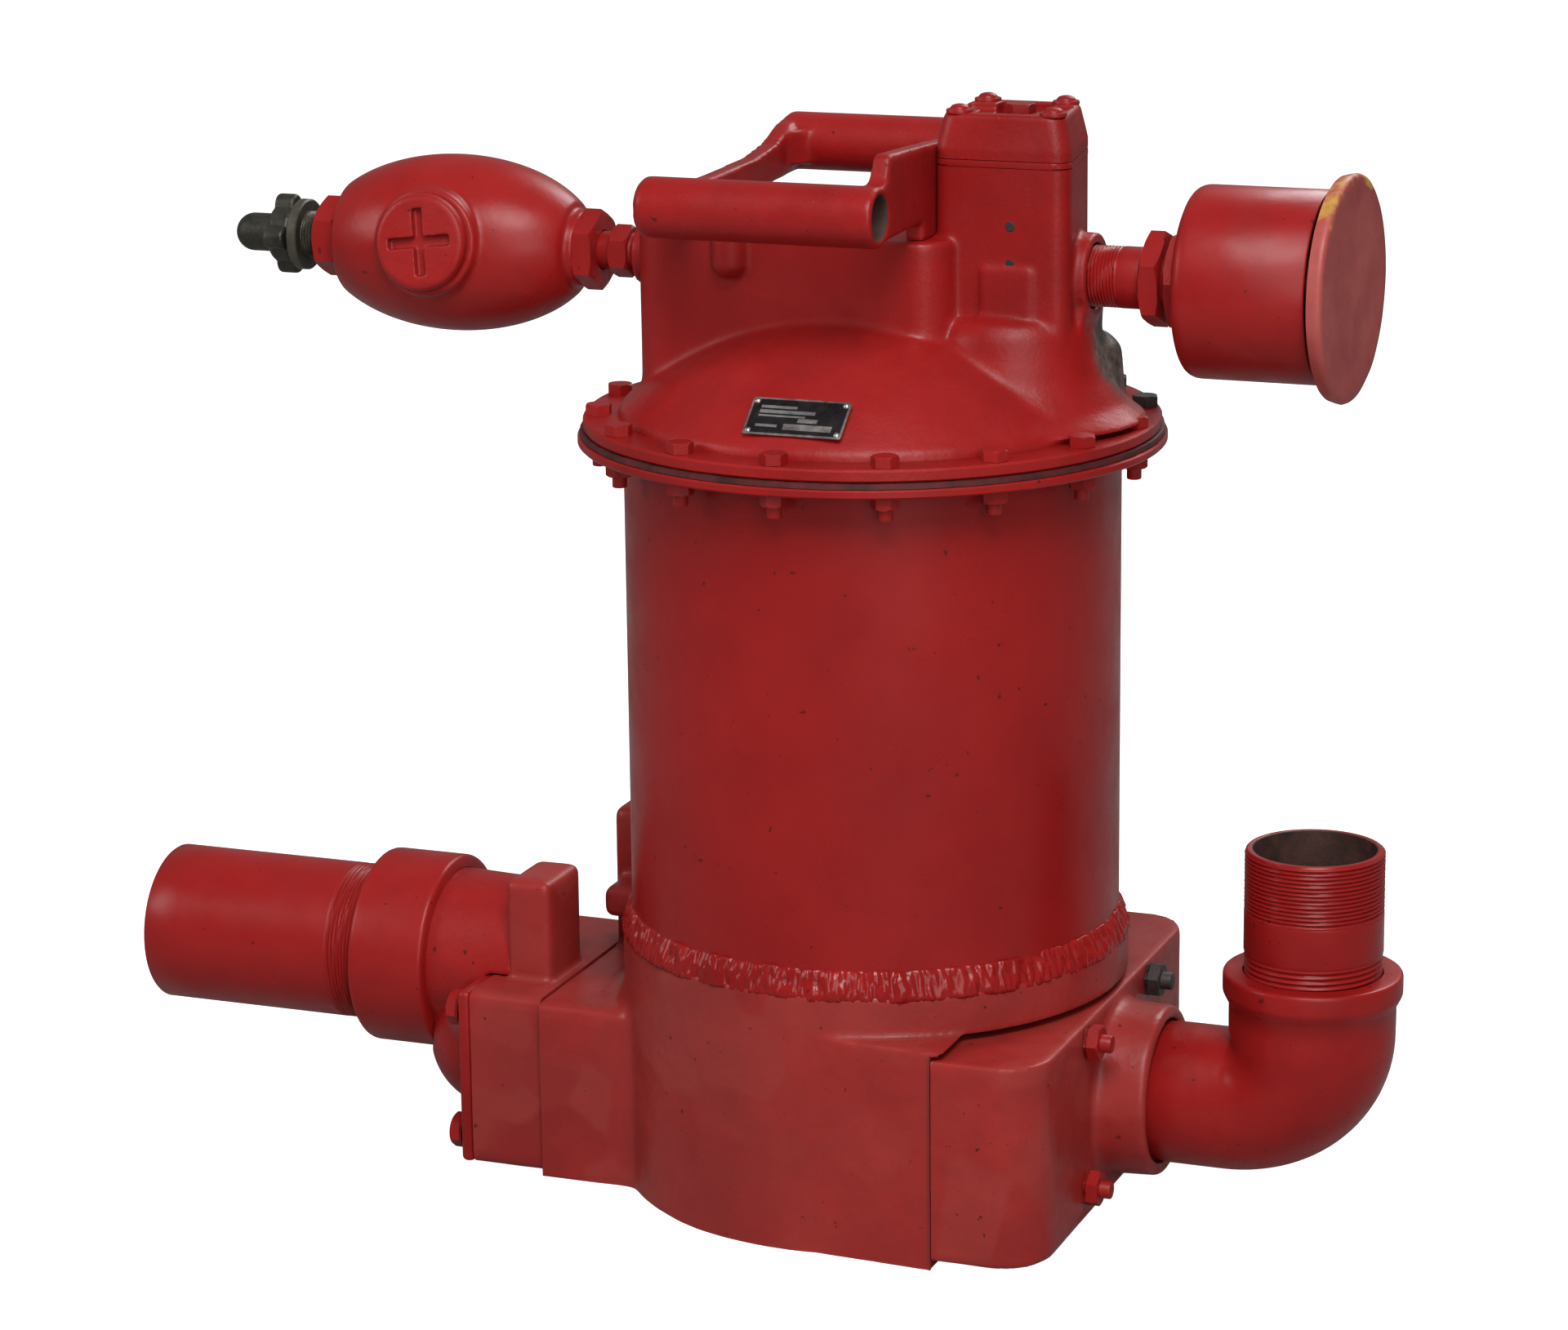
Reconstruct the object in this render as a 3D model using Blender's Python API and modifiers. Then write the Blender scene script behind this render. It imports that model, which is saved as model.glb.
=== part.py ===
"""Air-operated sludge pump: a welded tank on a cast base with a suction and a
discharge check valve, and a cast cover that carries the pilot valve, the
handle frame, the air-line lubricator and the exhaust silencer.

Frame: metres, +Z up, origin under the tank's axis on the base's foot.
+X runs along the pipes, from the suction side to the discharge side.
"""
import math

import bmesh
import bpy
from mathutils import Matrix, Vector

# ---------------------------------------------------------------- driving dimensions
GAP = 0.0003                    # clearance between pieces that touch
TANK_SIDES = 48
TANK_R = 0.1365                 # ten inch pipe
TANK_WALL = 0.005
BASE_R = 0.142
BASE_TOP = 0.147
BASE_FLOOR = 0.012
LEDGE_Z = 0.122                 # underside of the base's upper ring
PARTING_X = 0.0825              # machined face of the discharge side
PAD_Y = 0.145                   # half width of the discharge pad and cover
FLANGE_R = 0.1615
FLANGE_Z = 0.4225               # underside of the tank's flange
FLANGE_T = 0.0048
COVER_FLANGE_R = 0.1585
COVER_Z = 0.4308                # underside of the cover's flange
COVER_FLANGE_TOP = 0.4375
BOLT_COUNT = 16
BOLT_CIRCLE_R = 0.1495
DOME_R = 0.139
DOME_Z = 0.441
DOME_RISE = 0.060
DOME_POWER = 2.2
CHAMBER_TOP = 0.540
CHEST_X = 0.085                 # axis of the pilot valve
CHEST_TOP = 0.5787
AIR_Z = 0.5183                  # axis of the lubricator and the silencer
HANDLE_R = 0.0163
FRONT_BAR_Y, FRONT_BAR_Z = -0.112, 0.5624
BACK_BAR_Y, BACK_BAR_Z = 0.102, 0.5685
SUCTION_Z = 0.100               # axis of the suction pipe
SEAT_Z = 0.056                  # axis of the suction seat
DISCHARGE_Z = 0.064             # axis of the discharge port
ELBOW_X = 0.253                 # axis of the elbow's upright leg
ELBOW_BEND = 0.045
NIPPLE_TOP = 0.212
ALONG_X = (0.0, math.pi / 2, 0.0)
ALONG_Y = (math.pi / 2, 0.0, 0.0)

for old in list(bpy.data.objects):
    bpy.data.objects.remove(old, do_unlink=True)

PARTS = bpy.data.collections.new("sludge_pump")
TOOLS = bpy.data.collections.new("cutters")
for group in (PARTS, TOOLS):
    bpy.context.scene.collection.children.link(group)


# ---------------------------------------------------------------- materials
def paint(name, colour, roughness, metallic=0.0):
    material = bpy.data.materials.new(name)
    material.use_nodes = True
    shader = material.node_tree.nodes["Principled BSDF"]
    shader.inputs["Base Color"].default_value = (*colour, 1.0)
    shader.inputs["Roughness"].default_value = roughness
    shader.inputs["Metallic"].default_value = metallic
    return material


CAST_RED = paint("cast_red", (0.24, 0.018, 0.020), 0.42)
TUBE_RED = paint("tube_red", (0.27, 0.016, 0.020), 0.32)
BOLT_RED = paint("bolt_red", (0.25, 0.022, 0.022), 0.40)
LID_RED = paint("lid_red", (0.36, 0.050, 0.045), 0.55)
BLACKENED = paint("blackened_steel", (0.030, 0.030, 0.022), 0.45, 0.8)
PLATE_BLACK = paint("plate_black", (0.010, 0.010, 0.012), 0.35, 0.3)
RUBBER = paint("rubber", (0.020, 0.020, 0.020), 0.8)
BRIGHT_STEEL = paint("bright_steel", (0.45, 0.45, 0.44), 0.3, 1.0)


# ---------------------------------------------------------------- modelling helpers
def place(mesh, name, material, location=(0, 0, 0), rotation=(0, 0, 0), group=PARTS):
    piece = bpy.data.objects.new(name, mesh)
    piece.location = location
    piece.rotation_euler = rotation
    if material:
        mesh.materials.append(material)
    group.objects.link(piece)
    if group is TOOLS:
        piece.hide_render = True
        piece.display_type = "WIRE"
    return piece


def as_mesh(bm, name):
    mesh = bpy.data.meshes.new(name)
    bm.to_mesh(mesh)
    bm.free()
    mesh.shade_smooth()
    mesh.set_sharp_from_angle(angle=math.radians(35))
    return mesh


def rod(name, radius, start, end, axis="X", material=None, sides=24, centre=(0, 0, 0), end_radius=None):
    """A cylinder, cone or prism from start to end along an axis through centre."""
    bm = bmesh.new()
    radius_end = radius if end_radius is None else end_radius
    bmesh.ops.create_cone(bm, cap_ends=True, segments=sides, radius1=radius, radius2=radius_end,
                          depth=end - start)
    bmesh.ops.translate(bm, verts=bm.verts, vec=(0, 0, (start + end) / 2))
    rotation = {"X": ALONG_X, "Y": (-math.pi / 2, 0, 0), "Z": (0, 0, 0)}[axis]
    group = PARTS if material else TOOLS
    return place(as_mesh(bm, name), name, material, centre, rotation, group)


def clear_hole(name, radius, start, end, axis="X", sides=24, centre=(0, 0, 0)):
    """A drill with its flats, rather than its corners, at the radius."""
    return rod(name, radius / math.cos(math.pi / sides), start, end, axis, None, sides, centre)


def block(name, low, high, material=None, bevel=0.0, segments=1):
    bm = bmesh.new()
    bmesh.ops.create_cube(bm, size=1.0)
    size = Vector(high) - Vector(low)
    bmesh.ops.scale(bm, vec=size, verts=bm.verts)
    group = PARTS if material else TOOLS
    middle = (Vector(low) + Vector(high)) / 2
    piece = place(as_mesh(bm, name), name, material, middle, (0, 0, 0), group)
    if bevel:
        round_edges(piece, bevel, segments)
    return piece


def round_edges(piece, width, segments=1, angle=40):
    modifier = piece.modifiers.new("edges", "BEVEL")
    modifier.width = width
    modifier.segments = segments
    modifier.limit_method = "ANGLE"
    modifier.angle_limit = math.radians(angle)


def turned(name, profile, material=None, steps=32, closed=False, location=(0, 0, 0), rotation=(0, 0, 0)):
    """A profile of (radius, height) points, run down its outer side, spun about Z."""
    bm = bmesh.new()
    points = [bm.verts.new((radius, 0, height)) for radius, height in profile]
    for first, second in zip(points, points[1:]):
        bm.edges.new((first, second))
    if closed:
        bm.edges.new((points[-1], points[0]))
    group = PARTS if material else TOOLS
    piece = place(as_mesh(bm, name), name, material, location, rotation, group)
    screw = piece.modifiers.new("turn", "SCREW")
    screw.steps = steps
    screw.render_steps = steps
    screw.use_merge_vertices = True
    screw.merge_threshold = 0.00001
    screw.use_smooth_shade = True
    return piece


def ring(name, outer, inner, start, end, material=None, axis="Z", centre=(0, 0, 0), steps=32):
    profile = [(outer, end), (outer, start), (inner, start), (inner, end)]
    rotation = ALONG_X if axis == "X" else (0, 0, 0)
    return turned(name, profile, material, steps, True, centre, rotation)


def rounded_outline(corners, radius, steps=3):
    """The corners of a convex outline, anticlockwise, each rounded by an arc."""
    points = []
    count = len(corners)
    for index in range(count):
        corner = Vector(corners[index])
        before = (Vector(corners[index - 1]) - corner).normalized()
        after = (Vector(corners[(index + 1) % count]) - corner).normalized()
        half = before.angle(after) / 2
        turn = radius[index] if isinstance(radius, (list, tuple)) else radius
        centre = corner + (before + after).normalized() * turn / math.sin(half)
        start = corner + before * turn / math.tan(half) - centre
        for step in range(steps + 1):
            angle = (math.pi - 2 * half) * step / steps
            points.append(centre + Matrix.Rotation(angle, 2) @ start)
    return points


def extruded(name, outline, low, high, material=None):
    """A flat outline in XY, drawn as a 2D curve and given its height."""
    curve = bpy.data.curves.new(name, "CURVE")
    curve.dimensions = "2D"
    curve.fill_mode = "BOTH"
    curve.extrude = (high - low) / 2
    spline = curve.splines.new("POLY")
    spline.points.add(len(outline) - 1)
    for point, place_xy in zip(spline.points, outline):
        point.co = (place_xy[0], place_xy[1], 0, 1)
    spline.use_cyclic_u = True
    return solid_from_curve(name, curve, material, (0, 0, (low + high) / 2))


def swept(name, path, radii, material=None, location=(0, 0, 0)):
    """A round bar along a path, with a radius for each of its points."""
    curve = bpy.data.curves.new(name, "CURVE")
    curve.dimensions = "3D"
    curve.bevel_depth = 1.0
    curve.bevel_resolution = 4
    curve.use_fill_caps = True
    spline = curve.splines.new("POLY")
    spline.points.add(len(path) - 1)
    for point, where, radius in zip(spline.points, path, radii):
        point.co = (*where, 1)
        point.radius = radius
    return solid_from_curve(name, curve, material, location)


def solid_from_curve(name, curve, material, location):
    drawn = bpy.data.objects.new(name + "_curve", curve)
    bpy.context.scene.collection.objects.link(drawn)
    drawn.location = location
    bpy.context.view_layer.update()
    graph = bpy.context.evaluated_depsgraph_get()
    mesh = bpy.data.meshes.new_from_object(drawn.evaluated_get(graph))
    bm = bmesh.new()
    bm.from_mesh(mesh)
    bmesh.ops.remove_doubles(bm, verts=bm.verts, dist=0.00001)
    bmesh.ops.recalc_face_normals(bm, faces=bm.faces)
    bpy.data.meshes.remove(mesh)
    piece = place(as_mesh(bm, name), name, material, group=PARTS if material else TOOLS)
    piece.matrix_world = drawn.matrix_world
    bpy.data.objects.remove(drawn, do_unlink=True)
    return piece


def combine(target, operation, *tools):
    for tool in tools:
        modifier = target.modifiers.new(tool.name, "BOOLEAN")
        modifier.operation = operation
        modifier.solver = "EXACT"
        modifier.object = tool
    return target


def join(target, *tools):
    return combine(target, "UNION", *tools)


def cut(target, *tools):
    return combine(target, "DIFFERENCE", *tools)


def set_origin(piece, point):
    """Move a piece's origin to its joint's axis without moving its shape."""
    bpy.context.view_layer.update()
    shift = piece.matrix_world.inverted() @ Vector(point)
    piece.data.transform(Matrix.Translation(-shift))
    piece.location = point


def baked_mesh(piece):
    """The finished mesh of a piece built from modifiers, for copies to share."""
    bpy.context.view_layer.update()
    graph = bpy.context.evaluated_depsgraph_get()
    mesh = bpy.data.meshes.new_from_object(piece.evaluated_get(graph))
    mesh.transform(piece.matrix_world)
    return mesh


# ---------------------------------------------------------------- base and tank
STUD_R = 0.005
STUD_PLACES = [(side * 0.0575, height) for height in (0.108, 0.024) for side in (-1, 1)]
SUCTION_BOLT_PLACES = [(side * 0.062, height) for height in (0.088, 0.014) for side in (-1, 1)]
BOX_X = -0.172                  # machined face of the suction side
SLAB_X = -0.2165                # far face of the seat housing
BOLT_HOLE = STUD_R + GAP


def make_base():
    base = rod("base_casting", BASE_R, 0, BASE_TOP, "Z", CAST_RED, TANK_SIDES)
    overhang = block("base_overhang", (PARTING_X, -0.2, -0.01), (0.2, 0.2, LEDGE_Z))
    pad_corners = [(-0.03, -0.1385), (0.018, -0.1409), (PARTING_X, -PAD_Y), (PARTING_X, PAD_Y),
                   (0.018, 0.1409), (-0.03, 0.1385)]
    pad = extruded("base_pad", pad_corners, 0, 0.123)
    box = block("base_box", (BOX_X, -0.083, 0), (-0.06, 0.083, 0.103), bevel=0.004)
    lug = block("base_lug", (-0.171, 0.032, 0.090), (-0.146, 0.078, 0.184), bevel=0.007)
    rib = block("base_rib", (-0.170, 0.006, 0.127), (-0.128, 0.036, 0.146), bevel=0.004)
    cut(base, overhang)
    join(base, pad, box, lug, rib)
    well = rod("base_well", 0.122, BASE_FLOOR, BASE_TOP + 0.01, "Z", sides=TANK_SIDES)
    cut(well, block("base_well_wall", (0.070, -0.2, 0), (0.2, 0.2, LEDGE_Z + 0.008)))
    pocket = block("base_pocket", (BOX_X - 0.01, -0.046, BASE_FLOOR + 0.001), (-0.095, 0.046, 0.0985))
    port = rod("base_port", 0.033, 0.06, PARTING_X + 0.01, "X", centre=(0, 0, DISCHARGE_Z))
    cut(base, well, pocket, port)
    for index, (y, z) in enumerate(STUD_PLACES):
        cut(base, rod(f"base_stud_hole_{index}", BOLT_HOLE, 0.0715, 0.09, "X", sides=12, centre=(0, y, z)))
    for index, (y, z) in enumerate(SUCTION_BOLT_PLACES):
        hole = rod(f"base_bolt_hole_{index}", BOLT_HOLE, -0.18, -0.158, "X", sides=12, centre=(0, y, z))
        cut(base, hole)


def make_tank():
    bottom = BASE_TOP + GAP
    top = FLANGE_Z + FLANGE_T
    ring("tank_shell", TANK_R, TANK_R - TANK_WALL, bottom, top, TUBE_RED, steps=TANK_SIDES)
    inner = TANK_R + GAP
    bead = [(inner, bottom + 0.012), (inner + 0.0025, bottom + 0.0118), (inner + 0.0062, bottom + 0.0085),
            (inner + 0.0075, bottom + 0.0040), (inner + 0.0066, bottom), (inner, bottom)]
    turned("tank_weld_bead", bead, CAST_RED, TANK_SIDES, True)
    flange = ring("tank_flange", FLANGE_R, TANK_R + GAP, FLANGE_Z, FLANGE_Z + FLANGE_T, TUBE_RED, steps=TANK_SIDES)
    gasket = ring("cover_gasket", FLANGE_R - 0.0005, 0.132, FLANGE_Z + FLANGE_T + GAP, COVER_Z - GAP,
                  RUBBER, steps=TANK_SIDES)
    for piece in (flange, gasket):
        drill_flange(piece)


def flange_places():
    for index in range(BOLT_COUNT):
        angle = index * math.tau / BOLT_COUNT
        yield index, BOLT_CIRCLE_R * math.cos(angle), BOLT_CIRCLE_R * math.sin(angle)


def drill_flange(piece):
    for index, x, y in flange_places():
        drill = rod(f"{piece.name}_hole_{index}", 0.0050, 0.41, 0.45, "Z", sides=6, centre=(x, y, 0))
        drill.rotation_euler.z = 0.1
        cut(piece, drill)


def make_flange_bolts():
    """Hex bolt, nut and thread end as one solid, shared by all the copies."""
    model = rod("bolt_model", 0.0040, 0.4090, 0.4400, "Z", sides=6)
    head = rod("bolt_head", 0.0076, COVER_FLANGE_TOP + GAP, 0.4436, "Z", sides=6)
    nut = rod("bolt_nut", 0.0076, 0.4150, FLANGE_Z - GAP, "Z", sides=6)
    join(model, head, nut)
    shared = baked_mesh(model)
    shared.materials.clear()
    shared.materials.append(BOLT_RED)
    for index, x, y in flange_places():
        bolt = bpy.data.objects.new(f"flange_bolt_{index + 1:02d}", shared)
        bolt.location = (x, y, 0)
        bolt.rotation_euler = (0, 0, 0.9 * index)
        PARTS.objects.link(bolt)


# ---------------------------------------------------------------- cover, pilot valve and handle
CHEST_CORNERS = [(0.047, -0.034), (0.123, -0.034), (0.113, 0.034), (0.047, 0.034)]
SCREW_PLACES = [(0.0590, -0.0235), (0.1110, -0.0235), (0.1030, 0.0235), (0.0590, 0.0235)]
VALVE_BORE = 0.011


def dome_height(radius, drop=0.0):
    return DOME_Z - drop + DOME_RISE * (1 - (radius / DOME_R) ** DOME_POWER)


def shrunk(corners, inset):
    centre = sum((Vector(c) for c in corners), Vector((0, 0))) / len(corners)
    return [Vector(c) - Vector((math.copysign(inset, (Vector(c) - centre).x),
                                math.copysign(inset, (Vector(c) - centre).y))) for c in corners]


def make_cover():
    rings = 7
    outside = [(DOME_R * step / rings, dome_height(DOME_R * step / rings)) for step in range(rings + 1)]
    rim = [(DOME_R, COVER_FLANGE_TOP), (COVER_FLANGE_R, COVER_FLANGE_TOP), (COVER_FLANGE_R, COVER_Z),
           (0, COVER_Z)]
    cover = turned("cover_casting", outside + rim, CAST_RED, TANK_SIDES)
    room_r, wall = 0.1305, 0.011
    ceiling = [(room_r * step / rings, dome_height(DOME_R * step / rings, wall)) for step in range(rings)]
    room = turned("cover_room", ceiling + [(room_r, 0.434), (room_r, 0.420), (0, 0.420)], None, TANK_SIDES)
    chamber_corners = [(-0.121, -0.052), (0.060, -0.052), (0.060, 0.052), (-0.121, 0.052)]
    chamber = extruded("cover_chamber", rounded_outline(chamber_corners, 0.020), 0.446, CHAMBER_TOP)
    chest = extruded("cover_chest", rounded_outline(CHEST_CORNERS, 0.006), 0.455, CHEST_TOP)
    skirt = rod("cover_skirt", 0.0640, 0.4365, 0.4950, "Z", centre=(CHEST_X, 0, 0), end_radius=0.040)
    combine(skirt, "INTERSECT", rod("cover_skirt_limit", 0.1380, 0.40, 0.60, "Z", sides=60))
    inlet = rod("cover_inlet_boss", 0.0175, -0.1345, -0.10, "X", centre=(0, 0, AIR_Z))
    outlet = rod("cover_outlet_boss", 0.023, 0.10, 0.1285, "X", centre=(0, 0, AIR_Z))
    rest = rod("cover_handle_rest", 0.010, 0.520, CHAMBER_TOP - 0.001, "Z", sides=24,
               centre=(-0.062, -0.050, 0))
    pad = block("cover_chest_pad", (0.074, -0.036, 0.495), (0.103, -0.030, 0.526), bevel=0.001)
    join(cover, chamber, chest, skirt, inlet, outlet, rest, pad)
    cut(cover, room, rod("valve_bore", VALVE_BORE, 0.40, 0.60, "Z", centre=(CHEST_X, 0, 0)))
    cut(cover, rod("air_way", 0.007, -0.15, CHEST_X, "X", sides=24, centre=(0, 0, AIR_Z)))
    cut(cover, clear_hole("air_seat", 0.0108, -0.15, -0.122, centre=(0, 0, AIR_Z)))
    cut(cover, rod("exhaust_way", 0.010, CHEST_X, 0.14, "X", sides=24, centre=(0, 0, AIR_Z)))
    cut(cover, clear_hole("exhaust_seat", 0.0169, 0.1125, 0.14, centre=(0, 0, AIR_Z)))
    for index, height in enumerate((0.548, 0.528)):
        vent = rod(f"chest_vent_{index}", 0.0025, -0.04, -0.024, "Y", sides=8, centre=(0.0905, 0, height))
        cut(cover, vent)
    for index, (x, y) in enumerate(SCREW_PLACES):
        cut(cover, rod(f"chest_screw_hole_{index}", 0.0033, 0.556, 0.60, "Z", sides=12, centre=(x, y, 0)))
    drill_flange(cover)


def make_valve_cover():
    outline = rounded_outline(CHEST_CORNERS, 0.006)
    plate_low = CHEST_TOP + GAP
    plate_high = 0.5824
    crown_top = 0.6065
    gasket = extruded("valve_gasket", outline, plate_low, plate_high, CAST_RED)
    cap = extruded("valve_cover", outline, plate_high + GAP, 0.5885, CAST_RED)
    crown_outline = rounded_outline(shrunk(CHEST_CORNERS, 0.0035), 0.006)
    crown = extruded("valve_crown", crown_outline, 0.587, crown_top)
    pocket = block("valve_pocket", (0.0675, -0.0235, 0.598), (0.0985, 0.0235, 0.62), bevel=0.002)
    join(cap, crown)
    cut(cap, pocket, rod("valve_plug_hole", 0.0063, 0.588, 0.62, "Z", sides=24, centre=(CHEST_X, 0, 0)))
    for index, (x, y) in enumerate(SCREW_PLACES):
        for piece in (gasket, cap):
            name = f"{piece.name}_screw_hole_{index}"
            cut(piece, rod(name, 0.0033, 0.57, 0.62, "Z", sides=12, centre=(x, y, 0)))
    head_low = crown_top + GAP
    head = [(0, head_low + 0.0040), (0.0035, head_low + 0.0039), (0.0060, head_low + 0.0026),
            (0.0073, head_low + 0.0010), (0.0073, head_low), (0.0030, head_low), (0.0030, 0.560),
            (0, 0.560)]
    for index, (x, y) in enumerate(SCREW_PLACES):
        turned(f"valve_cover_screw_{index + 1}", head, BOLT_RED, 12, location=(x, y, 0))
    plug = rod("valve_cover_plug", 0.0085, 0.598 + GAP, 0.6092, "Z", BOLT_RED, 6, (CHEST_X, 0, 0))
    join(plug, rod("valve_plug_thread", 0.006, 0.589, 0.600, "Z", sides=24, centre=(CHEST_X, 0, 0)))


def make_handle():
    """Two bars joined by two cross webs that stand on the cover's chamber."""
    left, right = -0.088, 0.0465
    web = 0.0105
    frame = rod("handle_frame", HANDLE_R, left, right, "X", CAST_RED, centre=(0, FRONT_BAR_Y, FRONT_BAR_Z))
    back = rod("handle_back_bar", HANDLE_R, left, right, "X", centre=(0, BACK_BAR_Y, BACK_BAR_Z))
    join(frame, back)
    for index, low_x in enumerate((left, right - web)):
        high_x = low_x + web
        arm = block(f"handle_web_{index}", (low_x, FRONT_BAR_Y, 0.549), (high_x, BACK_BAR_Y, 0.575))
        foot = block(f"handle_foot_{index}", (low_x, -0.046, CHAMBER_TOP + GAP), (high_x, 0.046, 0.560))
        join(frame, arm, foot)
    cut(frame, rod("handle_bore", 0.0113, left - 0.01, right + 0.01, "X", centre=(0, FRONT_BAR_Y, FRONT_BAR_Z)))


def make_nameplate():
    """A thin plate lying along the dome's slope, centred on its front."""
    radius = 0.122
    slope = math.atan(DOME_RISE * DOME_POWER * (radius / DOME_R) ** (DOME_POWER - 1) / DOME_R)
    normal = Vector((0, -math.sin(slope), math.cos(slope)))
    half = Vector((0.0275, 0.0125, 0.0004))
    plate = block("nameplate", -half, half, PLATE_BLACK)
    centre = Vector((0.003, -radius, dome_height(radius))) + normal * (half.z + 2 * GAP)
    plate.location = centre
    plate.rotation_euler = (slope, 0, 0)


# ---------------------------------------------------------------- pilot rod and float
ROD_LOW, FLOAT_LOW, FLOAT_H = 0.142, 0.170, 0.110


def make_float():
    land = VALVE_BORE - 0.0005
    rod_r = 0.004
    stop = 0.008
    float_travel = 0.120
    high_stop = FLOAT_LOW + FLOAT_H + float_travel + 0.001
    profile = [(0, 0.566), (land, 0.566), (land, 0.546), (0.006, 0.546), (0.006, 0.528), (land, 0.528),
               (land, 0.508), (rod_r, 0.508), (rod_r, high_stop + 0.006), (stop, high_stop + 0.006),
               (stop, high_stop), (rod_r, high_stop), (rod_r, FLOAT_LOW - 0.001), (stop, FLOAT_LOW - 0.001),
               (stop, FLOAT_LOW - 0.007), (rod_r, FLOAT_LOW - 0.007), (rod_r, ROD_LOW), (0, ROD_LOW)]
    turned("pilot_rod", profile, BRIGHT_STEEL, 14, location=(CHEST_X, 0, 0))
    low, high = FLOAT_LOW, FLOAT_LOW + FLOAT_H
    outer, bore, bevel = 0.038, rod_r + 0.0005, 0.008
    shape = [(outer - bevel, high), (outer, high - bevel), (outer, low + bevel), (outer - bevel, low),
             (bore, low), (bore, high)]
    turned("float", shape, BRIGHT_STEEL, 24, True, location=(CHEST_X, 0, 0))


# ---------------------------------------------------------------- suction side
COLLAR_LOW, COLLAR_HIGH = -0.3047, -0.2575
SPIGOT_LOW = -0.2705
SLEEVE_R = 0.0455


def make_suction():
    axis = (0, 0, SUCTION_Z)
    ring("suction_sleeve", SLEEVE_R, SLEEVE_R - 0.005, -0.4427, SPIGOT_LOW - 0.001, TUBE_RED, "X", axis)
    collar = rod("suction_collar", 0.0565, COLLAR_LOW, COLLAR_HIGH, "X", CAST_RED, 36, axis)
    round_edges(collar, 0.002)
    cut(collar, clear_hole("collar_bore", SLEEVE_R + GAP, COLLAR_LOW - 0.01, COLLAR_HIGH + 0.01, "X", centre=axis),
        clear_hole("collar_spigot_bore", 0.0493, SPIGOT_LOW - 0.0005, COLLAR_HIGH + 0.01, "X", centre=axis))

    cover = block("suction_cover", (SLAB_X - 0.008 - GAP, -0.078, 0.001), (SLAB_X - GAP, 0.078, 0.103),
                  CAST_RED, 0.003)
    bulb_bm = bmesh.new()
    bmesh.ops.create_uvsphere(bulb_bm, u_segments=24, v_segments=10, radius=1.0)
    bmesh.ops.scale(bulb_bm, vec=(0.044, 0.060, 0.047), verts=bulb_bm.verts)
    bulb = place(as_mesh(bulb_bm, "suction_bulb"), "suction_bulb", None, (-0.2265, 0, 0.058), group=TOOLS)
    cut(bulb, block("bulb_limit", (SLAB_X - 0.004, -0.1, -0.1), (-0.1, 0.1, 0.2)))
    cut(bulb, rod("collar_room", 0.0570, -0.32, COLLAR_HIGH + GAP, "X", centre=axis, sides=36))
    pipe = rod("suction_pipe", 0.049, SPIGOT_LOW, -0.2065, "X", centre=axis)
    cut(pipe, block("pipe_limit", (SLAB_X - 0.004, -0.1, 0), (-0.1, 0.1, 0.1045)))
    join(cover, bulb, pipe)
    cut(cover, rod("suction_way_in", 0.036, -0.28, -0.222, "X", centre=axis),
        rod("suction_way_down", 0.033, 0.050, SUCTION_Z, "Z", centre=(-0.236, 0, 0)),
        rod("suction_way_out", 0.033, -0.240, -0.20, "X", centre=(0, 0, SEAT_Z)))

    seat = block("suction_seat", (SLAB_X, -0.079, 0.001), (BOX_X - 2 * GAP, 0.079, 0.104), CAST_RED, 0.004)
    join(seat, block("seat_lug", (-0.206, -0.049, 0.098), (-0.179, -0.003, 0.162), bevel=0.005))
    cut(seat, rod("seat_port", 0.033, -0.23, -0.16, "X", centre=(0, 0, SEAT_Z)))
    for index, (y, z) in enumerate(SUCTION_BOLT_PLACES):
        for piece in (cover, seat):
            name = f"{piece.name}_bolt_hole_{index}"
            cut(piece, rod(name, BOLT_HOLE, -0.24, -0.16, "X", sides=12, centre=(0, y, z)))
        head_x = SLAB_X - 0.008 - 2 * GAP
        bolt = rod(f"suction_bolt_{index + 1}", 0.0102, head_x - 0.0075, head_x, "X", BOLT_RED, 6, (0, y, z))
        join(bolt, rod(f"suction_bolt_shank_{index}", STUD_R, head_x - 0.010, -0.1595, "X", sides=12,
                       centre=(0, y, z)))


def make_flap(name, pivot, seat_x, direction, centre_z):
    """A round valve flap with an eye, hung from a cross pin along Y."""
    thick = 0.005
    low, high = sorted((seat_x + direction * GAP, seat_x + direction * (GAP + thick)))
    flap = rod(name, 0.0375, low, high, "X", RUBBER, 28, (0, 0, centre_z))
    neck = block(name + "_neck", (low, -0.012, centre_z + 0.02), (high, 0.012, pivot[2]))
    eye = rod(name + "_eye", 0.0035, -0.020, 0.020, "Y", sides=12, centre=(pivot[0], 0, pivot[2]))
    join(flap, neck, eye)
    set_origin(flap, pivot)


# ---------------------------------------------------------------- discharge side
COVER_FACE_X = 0.143


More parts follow.
